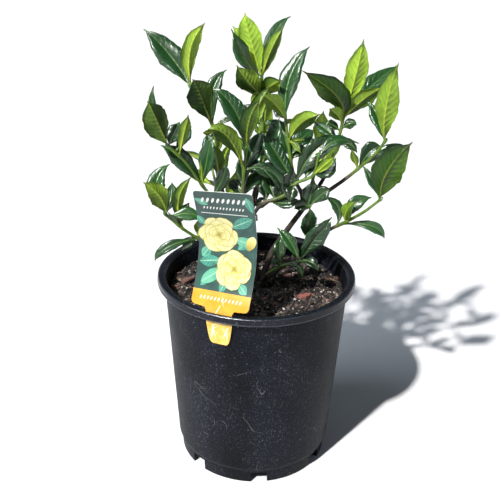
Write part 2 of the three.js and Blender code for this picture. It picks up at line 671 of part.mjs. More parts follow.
    leaves: [
      leaf(2, [-2, -2, 29], 14, TOP, [-2, -1, 3]),
      leaf(3, [-22, 4, 33], 14, TOP, [3, -2, 1]),
      leaf(3, [30, -14, 51], 21, TOP, [-1, -1, 2]),
      leaf(3, [18, -20, -1], 12, TOP, [0, -2, 6]),
      leaf(2, [20, -18, -7], 9, TOP, [4, -3, 9]),
      leaf(2, [-10, -4, 3], 8, TOP, [0, 0, 4]),
    ],
  },
  {
    name: "shoot_back_left",
    stem: [[-24, 2, 256], [-34, 22, 266], [-42, 42, 278], [-48, 60, 292]],
    wood: 2,
    bud: 4,
    leaves: [],
    whorls: [[2, 3, 44], [3, 3, 46]],
  },
  {
    name: "shoot_back",
    stem: [[-6, 10, 268], [0, 34, 282], [3, 54, 300], [4, 68, 320]],
    wood: 2,
    bud: 5,
    leaves: [],
    whorls: [[2, 3, 48], [3, 4, 50]],
  },
  {
    name: "shoot_back_right",
    stem: [FORK, [52, 34, 280], [58, 54, 292], [62, 68, 308]],
    wood: 2,
    bud: 4,
    leaves: [],
    whorls: [[2, 3, 44], [3, 3, 46]],
  },
  {
    name: "shoot_back_low",
    stem: [CROWN, [-10, 26, 210], [-20, 46, 226], [-28, 62, 244]],
    wood: 2,
    bud: 4,
    leaves: [],
    whorls: [[2, 3, 38], [3, 3, 42]],
  },
];

const curveOf = (points) => new THREE.CatmullRomCurve3(points, false, "centripetal");

// Splits a stem curve into its wood and its green part, which meet end to end with the seat gap.
function stemParts({ stem, wood }) {
  const perSpan = 6;
  const points = curveOf(stem.map(vec)).getPoints((stem.length - 1) * perSpan);
  const cut = (wood - 1) * perSpan;
  const green = points.slice(cut);
  const onward = green[1].clone().sub(green[0]).setLength(SEAT_GAP);
  green[0] = green[0].clone().add(onward);
  return { woody: points.slice(0, cut + 1), green };
}

// Leaves set round the stem by rule: evenly turned, each whorl turned against the last, all rising.
function whorlLeaves({ stem, whorls = [] }, draw) {
  return whorls.flatMap(([node, count, length], level) => {
    const along = vec(stem[node]).sub(vec(stem[node - 1])).normalize();
    const first = new THREE.Vector3(0, 0, 1).cross(along).normalize();
    const start = (level * Math.PI) / 2 + 0.6 * draw();
    return Array.from({ length: count }, (_, k) => {
      const outward = first.clone().applyAxisAngle(along, start + (k * 2 * Math.PI) / count);
      const spread = radians(38 + 22 * draw());
      const size = length * (0.85 + 0.3 * draw());
      const [rise, lean] = [Math.cos(spread), Math.sin(spread)];
      const direction = along.clone().multiplyScalar(rise).addScaledVector(outward, lean);
      const arch = along.clone().multiplyScalar(lean).addScaledVector(outward, -rise);
      const reach = direction.multiplyScalar(size).toArray();
      const bow = arch.multiplyScalar(size * (0.02 + 0.1 * draw())).toArray();
      return leaf(node, reach, size * (0.34 + 0.06 * draw()), FREE, bow);
    });
  });
}

function makeShoot(shoot, index) {
  const { green } = stemParts(shoot);
  const curve = curveOf(shoot.stem.map(vec));
  const spans = shoot.stem.length - 1;
  const end = green.at(-1);
  const heading = end.clone().sub(green.at(-3)).normalize();
  const parts = [tube(green, SHOOT_RADIUS), makeBud(end, heading, shoot.bud)];
  const rows = [...shoot.leaves, ...whorlLeaves(shoot, drawer(index + 1))];
  rows.forEach((row, i) => {
    const share = row.node / spans;
    const root = curve.getPoint(share).addScaledVector(vec(row.reach).normalize(), ROOT_OFFSET);
    parts.push(makeLeaf(root, curve.getTangent(share), row, index * 1.9 + i * 2.3));
  });
  return largestBody(joined(parts));
}

function makeWood() {
  const height = CROWN[2] + 5 - TRUNK_FOOT;
  const trunk = new THREE.CylinderGeometry(TRUNK_RADIUS - 1.5, TRUNK_RADIUS, height, 10);
  trunk.rotateX(Math.PI / 2).translate(CROWN[0], CROWN[1], TRUNK_FOOT + height / 2);
  const main = tube([CROWN, [9, 2, 206], [15, 4, 224], [27, 6, 244], FORK].map(vec), MAIN_RADIUS);
  const branches = SHOOTS.map((shoot) => tube(stemParts(shoot).woody, WOOD_RADIUS));
  return joined([solidOf(trunk), main, ...branches]);
}

const gardenia = new THREE.Group();
gardenia.add(meshOf("pot", makePot(), potPlastic));
gardenia.add(meshOf("potting_mix", makeMix(), mixEarth));
gardenia.add(meshOf("plant_label", makeLabel(), labelPlastic));
gardenia.add(meshOf("woody_stems", makeWood(), bark));
SHOOTS.forEach((shoot, i) => gardenia.add(meshOf(shoot.name, makeShoot(shoot, i), leafGreen)));

export default gardenia;
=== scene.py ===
"""A potted gardenia: its finished surfaces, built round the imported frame. Metres, +Z up, front faces -Y."""
import math
from collections import namedtuple
import bpy
import numpy as np
from mathutils import Matrix, Vector


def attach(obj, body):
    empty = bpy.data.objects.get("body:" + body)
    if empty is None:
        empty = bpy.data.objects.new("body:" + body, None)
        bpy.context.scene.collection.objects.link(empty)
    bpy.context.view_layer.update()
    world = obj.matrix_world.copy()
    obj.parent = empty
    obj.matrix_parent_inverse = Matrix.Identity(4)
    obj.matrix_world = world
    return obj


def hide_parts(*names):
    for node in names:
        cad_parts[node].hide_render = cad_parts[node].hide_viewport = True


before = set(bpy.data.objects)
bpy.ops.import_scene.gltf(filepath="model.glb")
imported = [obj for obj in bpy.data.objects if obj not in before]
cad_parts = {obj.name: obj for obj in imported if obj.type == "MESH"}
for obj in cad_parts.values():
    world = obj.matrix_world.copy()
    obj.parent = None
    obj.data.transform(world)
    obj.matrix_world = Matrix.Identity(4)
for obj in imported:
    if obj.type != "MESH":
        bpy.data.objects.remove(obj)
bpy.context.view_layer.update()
MM = 0.001
FULL_TURN = 2 * math.pi

# The camera that matches the photograph's frame of 500 by 500
CAMERA_DISTANCE = 0.8
CAMERA_ELEVATION = math.radians(24.9)
CAMERA_ROLL = math.radians(1.09)
CAMERA_LENS = 57.45
CAMERA_TARGET = Vector((-0.00706, 0, 0.2281))

# The light and the floor
SUN_PLACE = (-1.05, -1.45, 1.85)
SUN_POWER = 7.2
SUN_SPREAD = 0.035
WINDOW_PLACE = (-1.0, -0.35, 1.75)
WINDOW_TARGET = (0, 0, 0.3)
WINDOW_POWER = 20
WINDOW_SIZE = 0.9
FLOOR_REACH = 6

# The pot, repeated from the part; lengths are in mm from here on
RIM_RADIUS = 100
POT_HEIGHT = 204.7
SKIRT_HEIGHT = 7.6
SKIRT_THICKNESS = 1.8
FLANGE_THICKNESS = 2
WALL_TOP_RADIUS = 93.5
WALL_LOW_RADIUS = 80.9
WALL_THICKNESS = 2.3
FOOT_RADIUS = 77.7
FOOT_HEIGHT = 14.7
FOOT_INNER_RADIUS = 72.5
BASE_DISC_RADIUS = 45
GUTTER_HEIGHT = 12
NOTCH_COUNT = 7
NOTCH_WIDTH = 17
NOTCH_HEIGHT = 11.8
FIRST_NOTCH_DEG = 5
DRAIN_HOLE_RADIUS = 5
DRAIN_HOLE_INSET = 8
FLOOR_CORNER = 3
POT_SIDES = 256
CORNER_ROUNDING = 0.7
RIM_BEAD = 0.3
POT_SHARP_ANGLE = math.radians(38)

# The potting mix
MIX_LEVEL = 185
MIX_CROWN_RISE = 3
MIX_GRAIN = 1.8
SEAT_GAP = 0.3
MIX_SIDES = 160
MIX_RINGS = 46
STREWN_RADIUS = 88.5
GRAIN_COUNT = 6500
PERLITE_COUNT = 110
SMALL_CHIP_COUNT = 26
FIBRE_COUNT = 240
CRUMB_SIZES = (0.7, 1.5)
LARGE_CRUMB_SIZES = (1.5, 2.9)
PERLITE_SIZES = (0.7, 1.7)
CHIP_LENGTHS = (5, 11)
CHIP_WIDTHS = (2.5, 5)
FIBRE_LENGTHS = (4, 13)
FIBRE_POINTS = 7

# The label
CARD_TURN = math.radians(-21)
CARD_TWIST = math.radians(13)
CARD_LEAN = 0.008
CARD_HALF_WIDTH = 27.2
CARD_THICKNESS = 0.8
TONGUE_HALF_WIDTH = 13
SLOT_CLEARANCE = 0.4
CARD_SHARP_ANGLE = math.radians(40)

# The plant
BLADE_FOLD = 0.28
FOLD_SPREAD = 0.1
BLADE_THICKNESS = 0.5
EDGE_ROLL = 0.2
QUILT_DEPTH = 0.34
TIP_CURL = -0.035
STALK_THICKNESS = 1.7
STALK_HALF_WIDTH = 1.1
STALK_SHARE = 0.03
ROOT_OFFSET = 1
WAVE_SHARE = 0.05
WAVE_TURNS = 13
WAVE_LAG = 1.7
WIDEST_POWER = 1.2
WIDEST_SPREAD = 0.1
WIDEST_TURNS = 1.7
OUTLINE_POWER = 0.88
DRIP_START = 0.96
DRIP_HALF_WIDTH = 0.9
LEAN_BACK = 0.26
LEAN_FRONT = -0.08
LEAN_DROP = 0.3
INNER_SHARE = 0.55
CROWN = (3, 0, 190)
FORK = (45, 10, 270)
TRUNK_RADIUS = 5.5
TRUNK_FOOT = 150
TRUNK_TAPER = 1.2
MAIN_RADIUS = 3
WOOD_RADIUS = 2.1
SHOOT_RADIUS = 1.6
STEM_SIDES = 14


# Node trees

class Paint:
    """A node tree being filled: each method adds one kind of node and gives its output."""

    def __init__(self, tree):
        self.tree = tree

    def fill(self, socket, value):
        """Links a socket, or sets it to a number or to a tuple."""
        if isinstance(value, bpy.types.NodeSocket):
            self.tree.links.new(value, socket)
        elif isinstance(value, tuple):
            socket.default_value = (*value, 1)[:len(socket.default_value)]
        else:
            socket.default_value = value

    def add(self, kind, inputs, output=0, **settings):
        """Adds a node, sets it, fills its inputs and gives one of its outputs."""
        node = self.tree.nodes.new("ShaderNode" + kind)
        for key, value in settings.items():
            setattr(node, key, value)
        for key, value in inputs.items():
            self.fill(node.inputs[key], value)
        return node.outputs[output]

    def noise(self, scale, detail=4, roughness=0.55, stretch=None):
        """A noise over the object's own place in space, stretched along an axis if asked."""
        place = self.add("TexCoord", {}, "Object")
        if stretch:
            place = self.add("Mapping", {"Vector": place, "Scale": stretch})
        inputs = {"Vector": place, "Scale": scale, "Detail": detail, "Roughness": roughness}
        return self.add("TexNoise", inputs, "Fac")

    def cells(self, scale, feature):
        inputs = {"Vector": self.add("TexCoord", {}, "Object"), "Scale": scale}
        return self.add("TexVoronoi", inputs, "Distance", feature=feature)

    def ramp(self, factor, *stops):
        """A colour ramp: stops are (position, colour or grey)."""
        output = self.add("ValToRGB", {"Fac": factor}, "Color")
        elements = output.node.color_ramp.elements
        while len(elements) < len(stops):
            elements.new(0.5)
        for element, (position, colour) in zip(elements, stops):
            element.position = position
            element.color = (*colour, 1) if isinstance(colour, tuple) else (colour, colour, colour, 1)
        return output

    def mix(self, factor, first, second, blend="MIX"):
        return self.add("Mix", {0: factor, 6: first, 7: second}, 2, data_type="RGBA", blend_type=blend)

    def tint(self, colour, by):
        return self.mix(1.0, colour, by, "MULTIPLY")

    def math(self, operation, *values):
        return self.add("Math", dict(enumerate(values)), operation=operation)

    def plus(self, first, second):
        return self.math("ADD", first, second)

    def times(self, first, second):
        return self.math("MULTIPLY", first, second)

    def bump(self, height, distance, strength):
        return self.add("Bump", {"Height": height, "Distance": distance, "Strength": strength})

    def numbers(self, name):
        """The four numbers that a mesh carries for each point under that name."""
        colour = self.add("Attribute", {}, "Color", attribute_name=name)
        first = self.add("SeparateColor", {"Color": colour})
        return (*first.node.outputs, colour.node.outputs["Alpha"])


class Material(Paint):
    """A named material, given out once its shader's sockets are set or linked."""

    def __init__(self, name):
        self.material = bpy.data.materials.new(name)
        self.material.use_nodes = True
        super().__init__(self.material.node_tree)

    def finish(self, **sockets):
        shader = self.tree.nodes["Principled BSDF"]
        for name, value in sockets.items():
            self.fill(shader.inputs[name.replace("_", " ")], value)
        return self.material


def leaf_material(name, old, young, painted_ridge_highlight, groove, midrib, margin, gain, gloss, **sockets):
    """A leaf side: old to young colour, mottled, darker by its tone and by painted shade, with dark side
    veins of painted shade beside pale ridges of painted highlight, a tinted margin and a midrib.
    """
    paint = Material(name)
    rib, _, tone, age = paint.numbers("leaf_data")
    stage, window, edge, _ = paint.numbers("vein_data")
    # Tone holds random variation and painted shade: shaded halves and leaves inside the shrub come out darker
    # green.
    mottled = paint.plus(paint.times(paint.noise(260, 5, 0.6), 0.5), tone)
    tone_with_painted_shade = paint.times(paint.plus(mottled, 1.0), 0.5)
    shade = paint.ramp(tone_with_painted_shade, (0.2, (0.05, 0.1, 0.06)), (0.5, (0.22, 0.28, 0.22)), (0.62, 0.46),
                       (0.92, 1.02))
    plain = paint.tint(paint.mix(age, old, young), shade)
    wobble = paint.plus(stage, paint.times(paint.noise(160, 2), 0.16))

    def stripe(shift, start, end):
        wave = paint.math("COSINE", paint.times(paint.plus(wobble, shift), FULL_TURN))
        return paint.times(paint.ramp(wave, (start, 0), (end, 1)), window)

    # Painted highlight on the ridge beside each side vein, then painted shade in the vein's groove.
    body = paint.mix(paint.times(stripe(-0.1, 0.7, 0.92), gain), plain, paint.tint(plain, painted_ridge_highlight))
    body = paint.mix(paint.times(stripe(0.0, 0.8, 1), gain), body, paint.tint(plain, groove))
    body = paint.tint(body, paint.ramp(paint.cells(520.0, "DISTANCE_TO_EDGE"), (0.02, 0.8), (0.1, 1)))
    # Margin: on the under side partly dry tips, partly painted shade where a tip curls over; on the top a
    # paler edge.
    body = paint.mix(edge, body, paint.tint(body, margin))
    # The midrib darkens with the same tone and painted shade.
    body = paint.mix(rib, body, paint.tint(midrib, paint.ramp(tone_with_painted_shade, (0.2, 0.4), (0.5, 1))))
    shine = paint.ramp(paint.noise(240, 4), (0.3, gloss[0]), (0.75, gloss[1]))
    creases = paint.math("SUBTRACT", paint.noise(520, 4, 0.6), stripe(0.0, 0.55, 0.77))
    normal = paint.bump(creases, 0.0003, 0.5)
    return paint.finish(Base_Color=body, Roughness=shine, Normal=normal, Coat_Normal=normal, **sockets)


def stem_material():
    """A young stem: still bark-brown where it leaves the wood, then green with paler streaks."""
    paint = Material("green_stem")
    share = paint.numbers("leaf_data")[3]
    streaks = paint.noise(220, 4, 0.6, (3, 3, 0.6))
    brown = paint.ramp(streaks, (0.3, (0.023, 0.017, 0.011)), (0.75, (0.11, 0.09, 0.055)))
    green = paint.ramp(streaks, (0.25, (0.025, 0.055, 0.004)), (0.6, (0.075, 0.14, 0.007)),
                       (0.85, (0.17, 0.24, 0.02)))
    turned = paint.ramp(paint.plus(share, paint.times(streaks, 0.3)), (0.2, 0), (0.42, 1))
    normal = paint.bump(streaks, 0.0003, 0.7)
    return paint.finish(Base_Color=paint.mix(turned, brown, green), Roughness=0.5, Normal=normal)


def bark_material():
    """Young bark: grey-brown with darker cracks along the stem and pale pores."""
    paint = Material("bark")
    cracks = paint.noise(340, 6, 0.65, (2.5, 2.5, 0.5))
    colour = paint.ramp(cracks, (0.3, (0.006, 0.004, 0.003)), (0.55, (0.021, 0.015, 0.01)),
                        (0.82, (0.11, 0.09, 0.068)))
    pores = paint.add("TexVoronoi", {"Scale": 420.0}, "Distance")
    spots = paint.ramp(pores, (0.1, 1), (0.16, 0))
    colour = paint.mix(paint.times(spots, 0.5), colour, (0.21, 0.18, 0.14))
    return paint.finish(Base_Color=colour, Roughness=0.85, Normal=paint.bump(cracks, 0.0005, 0.9))


def pot_material(name, gloss, specular, dusty=1.0, worn_and_painted_light=(0.002, 0.003, 0.0065)):
    """Black moulded plastic: satin, with dust in upright patches, fine pale specks and curved scratches."""
    paint = Material(name)
    dust = paint.noise(30, 6, 0.65, (1, 1, 0.45))
    # The low end is the plastic's bare colour; the rim's edges are given a paler one there, a painted
    # highlight.
    base = paint.ramp(dust, (0.35, worn_and_painted_light), (0.68, (0.006, 0.0075, 0.012)))
    patch = paint.ramp(dust, (0.4, 0.25), (0.62, 1))
    specks = paint.ramp(paint.noise(880, 3, 0.75, (1, 1, 0.55)), (0.56, 0), (0.67, dusty))
    base = paint.mix(paint.times(specks, patch), base, (0.07, 0.08, 0.094))
    grit = paint.ramp(paint.cells(190.0, "F1"), (0.06, 0.85 * dusty), (0.1, 0))
    base = paint.mix(grit, base, (0.16, 0.16, 0.165))
    away = paint.math("ABSOLUTE", paint.math("SUBTRACT", paint.noise(17, 2, 0.5), 0.52))
    scratch = paint.ramp(away, (0.0012, 1), (0.0035, 0))
    broken = paint.ramp(paint.noise(45, 2), (0.52, 0), (0.6, 0.7))
    base = paint.mix(paint.times(scratch, broken), base, (0.12, 0.12, 0.115))
    smudge = paint.ramp(paint.noise(15, 3, 0.5, (1, 1, 0.6)), (0.4, 0.55), (0.56, 1.08))
    shine = paint.ramp(dust, (0.3, gloss[0]), (0.75, gloss[1]))
    grain = paint.plus(paint.noise(420, 4, 0.7), paint.times(specks, 0.4))
    return paint.finish(Base_Color=paint.tint(base, smudge), Roughness=shine, Specular_IOR_Level=specular,
                        Normal=paint.bump(grain, 0.0004, 0.6))


def petal_material():
    """Printed petals: dark yellow where they start, pale at their ends, with faint streaks."""
    paint = Material("ink_petal")
    along = paint.numbers("leaf_data")[0]
    place = paint.plus(paint.plus(along, paint.times(paint.noise(420, 4), 0.3)), -0.15)
    colour = paint.ramp(place, (0, (0.2, 0.17, 0.03)), (0.4, (0.38, 0.34, 0.085)), (0.7, (0.48, 0.45, 0.17)),
                        (1, (0.56, 0.53, 0.29)))
    return paint.finish(Base_Color=colour, Roughness=0.3, Coat_Weight=0.4, Coat_Roughness=0.1)


def printed_leaf_material():
    """Printed leaves: teal with paler midribs and side veins."""
    paint = Material("ink_leaf")
    along, across, tone, _ = paint.numbers("leaf_data")
    body = paint.ramp(paint.plus(paint.noise(120, 4), paint.times(tone, 0.4)),
                      (0.4, (0.014, 0.1, 0.07)), (0.65, (0.03, 0.21, 0.15)), (0.9, (0.09, 0.31, 0.2)))
    stage = paint.math("SUBTRACT", paint.times(along, 44), paint.times(across, 9))
    side_veins = paint.ramp(paint.math("COSINE", stage), (0.75, 0), (0.95, 0.45))
    body = paint.mix(side_veins, body, (0.16, 0.37, 0.26))
    body = paint.mix(paint.ramp(across, (0.06, 0.8), (0.14, 0)), body, (0.23, 0.45, 0.33))
    return paint.finish(Base_Color=body, Roughness=0.3, Coat_Weight=0.4, Coat_Roughness=0.1)


def grain_material():
    """The mix's crumbs: each point's own colour, darkened and roughened by a fine noise."""
    paint = Material("mix_grains")
    own = paint.add("Attribute", {}, "Color", attribute_name="grain_colour")
    speck = paint.noise(900, 5, 0.7)
    shade = paint.ramp(speck, (0.25, (0.3, 0.31, 0.36)), (0.75, (0.95, 0.99, 1.15)))
    normal = paint.bump(speck, 0.0006, 0.9)
    return paint.finish(Base_Color=paint.tint(own, shade), Roughness=0.95, Normal=normal)


def print_material(name, low, high, roughness=0.3):
    """Printed card under a clear gloss: two close tones in soft clouds, with a faint printing grain."""
    paint = Material(name)
    clouds = paint.noise(90, 4, 0.5)
    dots = paint.ramp(paint.noise(2600, 1, 0.5), (0.3, 0.76), (0.7, 0.86))
    colour = paint.tint(paint.ramp(clouds, (0.3, low), (0.7, high)), dots)
    return paint.finish(Base_Color=colour, Roughness=roughness, Coat_Weight=0.3, Coat_Roughness=0.1,
                        Specular_IOR_Level=0.3, Normal=paint.bump(clouds, 0.0003, 0.15))


# Meshes

def link_new(name, data):
    """A new object of the scene."""
    made = bpy.data.objects.new(name, data)
    bpy.context.collection.objects.link(made)
    return made


def new_piece(name, points, faces):
    mesh = bpy.data.meshes.new(name)
    mesh.from_pydata(points, [], faces)
    return link_new(name, mesh)


def hand_over(piece, node=None):
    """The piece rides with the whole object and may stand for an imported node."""
    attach(piece, "root")
    if node:
        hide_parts(node)


class Shape:
    """Points and faces for one mesh, with a material index per face and four or eight numbers per point."""

    def __init__(self, width=4):
        self.width = width
        self.points = []
        self.faces = []
        self.slots = []
        self.data = []
        self.count = 0

    def put(self, points, faces, slot=0, data=0):
        """Adds points and faces; slot and data are the same for all or given for each."""
        self.points.append(np.asarray(points, float))
        self.faces += [tuple(int(i) + self.count for i in face) for face in faces]
        self.slots += [slot] * len(faces) if np.isscalar(slot) else list(slot)
        self.data.append(np.array(np.broadcast_to(data, (len(points), self.width)), float))
        self.count += len(points)

    def finish(self, name, materials, attribute="leaf_data", smooth=True):
        piece = new_piece(name, (np.concatenate(self.points) * MM).tolist(), self.faces)
        mesh = piece.data
        for material in materials:
            mesh.materials.append(material)
        mesh.polygons.foreach_set("material_index", self.slots)
        mesh.polygons.foreach_set("use_smooth", [smooth] * len(mesh.polygons))
        numbers = np.concatenate(self.data).astype(np.float32)
        for start, layer_name in zip(range(0, self.width, 4), (attribute, "vein_data")):
            layer = mesh.attributes.new(layer_name, "FLOAT_COLOR", "POINT")
            layer.data.foreach_set("color", numbers[:, start:start + 4].ravel())
        mesh.validate()
        mesh.update()
        return piece


def grid_faces(rows, columns, start=0, flip=False):
    """Quads of a rows by columns grid of points."""
    corners = [start + i * columns + j for i in range(rows - 1) for j in range(columns - 1)]
    faces = [(a, a + 1, a + columns + 1, a + columns) for a in corners]
    return [face[::-1] for face in faces] if flip else faces


def slab_faces(rows, columns):
    """Quads of a closed slab: a front grid, a back grid that faces away, and the rim between them."""
    total = rows * columns
    edge = [*range(0, total, columns), *range(total - columns + 1, total),
            *range(total - columns - 1, 0, -columns), *range(columns - 2, 0, -1)]
    rim = [(a, b, b + total, a + total) for a, b in zip(edge, edge[1:] + edge[:1])]
    return grid_faces(rows, columns) + grid_faces(rows, columns, total, True) + rim


def ring_faces(rings, sides):
    """Quads between each ring of points and the next."""
    pairs = [(i * sides + j, i * sides + (j + 1) % sides) for i in range(rings - 1) for j in range(sides)]
    return [(a, b, b + sides, a + sides) for a, b in pairs]


def capped_faces(rings, sides):
    """Ring faces closed by a fan at each end, to the two points that follow the rings."""
    first = rings * sides
    top = first - sides
    pairs = [(j, (j + 1) % sides) for j in range(sides)]
    fans = [(k, j, first) for j, k in pairs] + [(top + j, top + k, first + 1) for j, k in pairs]
    return ring_faces(rings, sides) + fans


def fade(value, start, end):
    """From 0 at the start to 1 at the end, and level beyond both."""
    return np.clip((value - start) / (end - start), 0, 1)


def unit(vector):
    return vector / max(np.linalg.norm(vector), 1e-9)


def turn_about(vector, axis, angle):
    """A vector turned about a unit axis."""
    along = axis * np.dot(axis, vector)
    return along + (vector - along) * math.cos(angle) + np.cross(axis, vector) * math.sin(angle)


def ring_angles(sides):
    return np.arange(sides) * FULL_TURN / sides


def drawer(seed):
    """The part's own seeded draw from 0 to 1."""
    state = seed

    def draw():
        nonlocal state
        state = (state * 1664525 + 1013904223) % 4294967296
        return state / 4294967296

    return draw


class Curve:
    """A centripetal Catmull-Rom curve through points, as the part's stems follow."""

    def __init__(self, points):
        self.points = [np.array(p, float) for p in points]

    def point(self, share):
        last = len(self.points) - 1
        place = min(max(share, 0), 1) * last
        i = min(int(place), last - 1)
        w = place - i
        p1, p2 = self.points[i], self.points[i + 1]
        p0 = self.points[i - 1] if i > 0 else 2 * p1 - p2
        p3 = self.points[i + 2] if i + 2 <= last else 2 * p2 - p1
        d0, d1, d2 = (math.sqrt(np.linalg.norm(b - a)) for a, b in ((p0, p1), (p1, p2), (p2, p3)))
        t1 = ((p1 - p0) / d0 - (p2 - p0) / (d0 + d1) + (p2 - p1) / d1) * d1
        t2 = ((p2 - p1) / d1 - (p3 - p1) / (d1 + d2) + (p3 - p2) / d2) * d1
        c2 = -3 * p1 + 3 * p2 - 2 * t1 - t2
        c3 = 2 * p1 - 2 * p2 + t1 + t2
        return p1 + t1 * w + c2 * w * w + c3 * w ** 3

    def samples(self, steps):
        return [self.point(i / steps) for i in range(steps + 1)]

    def tangent(self, share):
        step = 1e-4
        return unit(self.point(min(share + step, 1)) - self.point(max(share - step, 0)))


def put_tube(shape, points, radii, sides, slot=0, data=0):
    """A closed tube along points, with its own radius at each, and blunt points at its ends."""
    points = [np.array(p, float) for p in points]
    count = len(points)
    tangents = [unit(points[min(i + 1, count - 1)] - points[max(i - 1, 0)]) for i in range(count)]
    side = unit(np.cross(tangents[0], [0.31, 0.87, 0.21]))
    angles = ring_angles(sides)
    rows = []
    for point, tangent, radius in zip(points, tangents, radii):
        side = unit(side - tangent * np.dot(side, tangent))
        other = np.cross(tangent, side)
        rows.append(point + radius * (np.outer(np.cos(angles), side) + np.outer(np.sin(angles), other)))
    rows.append([points[0] - tangents[0] * radii[0] * 0.4, points[-1] + tangents[-1] * radii[-1] * 0.4])
    shape.put(np.concatenate(rows), capped_faces(count, sides), slot, data)


def put_turned(shape, profile, sides, data=0):
    """A closed solid of revolution; its profile starts and ends on the axis."""
    angles = ring_angles(sides)
    rings = [np.stack([r * np.cos(angles), r * np.sin(angles), np.full(sides, z)], 1)
             for r, z in profile[1:-1]]
    ends = [[0, 0, profile[0][1]], [0, 0, profile[-1][1]]]
    shape.put(np.concatenate(rings + [ends]), capped_faces(len(rings), sides), 0, data)


# The pot

def wall_radius(z):
    share = (z - FOOT_HEIGHT) / (POT_HEIGHT - FOOT_HEIGHT)
    return WALL_LOW_RADIUS + (WALL_TOP_RADIUS - WALL_LOW_RADIUS) * share


def wall_inside(z):
    return wall_radius(z) - WALL_THICKNESS


def rounded(profile, radius, steps=4):
    """The profile with each inner corner rounded by a small arc, the radius cut to fit short edges."""
    profile = [np.array(p, float) for p in profile]
    done = [profile[0]]
    for before, here, after in zip(profile, profile[1:], profile[2:]):
        reach = min(radius, 0.4 * np.linalg.norm(here - before), 0.4 * np.linalg.norm(after - here))
        start, end = here + unit(before - here) * reach, here + unit(after - here) * reach
        for t in np.linspace(0, 1, steps + 1):
            done.append((1 - t) ** 2 * start + 2 * t * (1 - t) * here + t * t * end)
    return done + [profile[-1]]


def box_cutter(size, matrix):
    corners = [Vector((x * size[0] / 2, y * size[1] / 2, z * size[2] / 2)) * MM
               for x in (-1, 1) for y in (-1, 1) for z in (-1, 1)]
    faces = [(0, 1, 3, 2), (4, 6, 7, 5), (0, 4, 5, 1), (2, 3, 7, 6), (0, 2, 6, 4), (1, 5, 7, 3)]
    return new_piece("cutter", [matrix @ c for c in corners], faces)


def round_cutter(radius, height, matrix, sides=24):
    corners = [Vector((radius * math.cos(a), radius * math.sin(a), z)) * MM
               for z in (-height / 2, height / 2) for a in ring_angles(sides)]
    faces = [tuple(range(sides))[::-1], tuple(range(sides, 2 * sides))] + ring_faces(2, sides)
    return new_piece("cutter", [matrix @ c for c in corners], faces)


def carve(piece, cutters):
    """Cuts the cutters out of the piece for good, and removes them."""
    group = bpy.data.collections.new("cutters")
    for each in cutters:
        group.objects.link(each)
    cut = piece.modifiers.new("cut", "BOOLEAN")
    cut.operation = "DIFFERENCE"
    cut.operand_type = "COLLECTION"
    cut.collection = group
    cut.solver = "EXACT"
    bpy.context.view_layer.update()
    result = bpy.data.meshes.new_from_object(piece.evaluated_get(bpy.context.evaluated_depsgraph_get()))
    piece.modifiers.clear()
    piece.data = result
    for each in cutters:
        bpy.data.objects.remove(each)
    bpy.data.collections.remove(group)


def pot_cutters():
    """The foot's notches, a drain hole beside each, and the label's slot through the flange."""
    cutters = []
    foot_middle = -(FOOT_RADIUS + FOOT_INNER_RADIUS) / 2 * MM
    notch = (NOTCH_WIDTH, 2 * (FOOT_RADIUS - FOOT_INNER_RADIUS), 2 * NOTCH_HEIGHT)
    hole_at = Matrix.Translation((0, (DRAIN_HOLE_INSET - FOOT_INNER_RADIUS) * MM, GUTTER_HEIGHT * MM))
    for i in range(NOTCH_COUNT):
        spin = Matrix.Rotation(math.radians(FIRST_NOTCH_DEG) + i * FULL_TURN / NOTCH_COUNT, 4, "Z")
        cutters.append(box_cutter(notch, spin @ Matrix.Translation((0, foot_middle, 0))))
        cutters.append(round_cutter(DRAIN_HOLE_RADIUS, 4 * WALL_THICKNESS, spin @ hole_at))
    outward, _ = card_frame(0)
    slot_at = Matrix.Translation(Vector((*(outward[:2] * CARD_PROFILE[2][0]), POT_HEIGHT)) * MM)
    slot = (2 * (TONGUE_HALF_WIDTH + SLOT_CLEARANCE), CARD_THICKNESS + 2 * SLOT_CLEARANCE,
            4 * FLANGE_THICKNESS)
    cutters.append(box_cutter(slot, slot_at @ Matrix.Rotation(CARD_TURN, 4, "Z")))
    return cutters


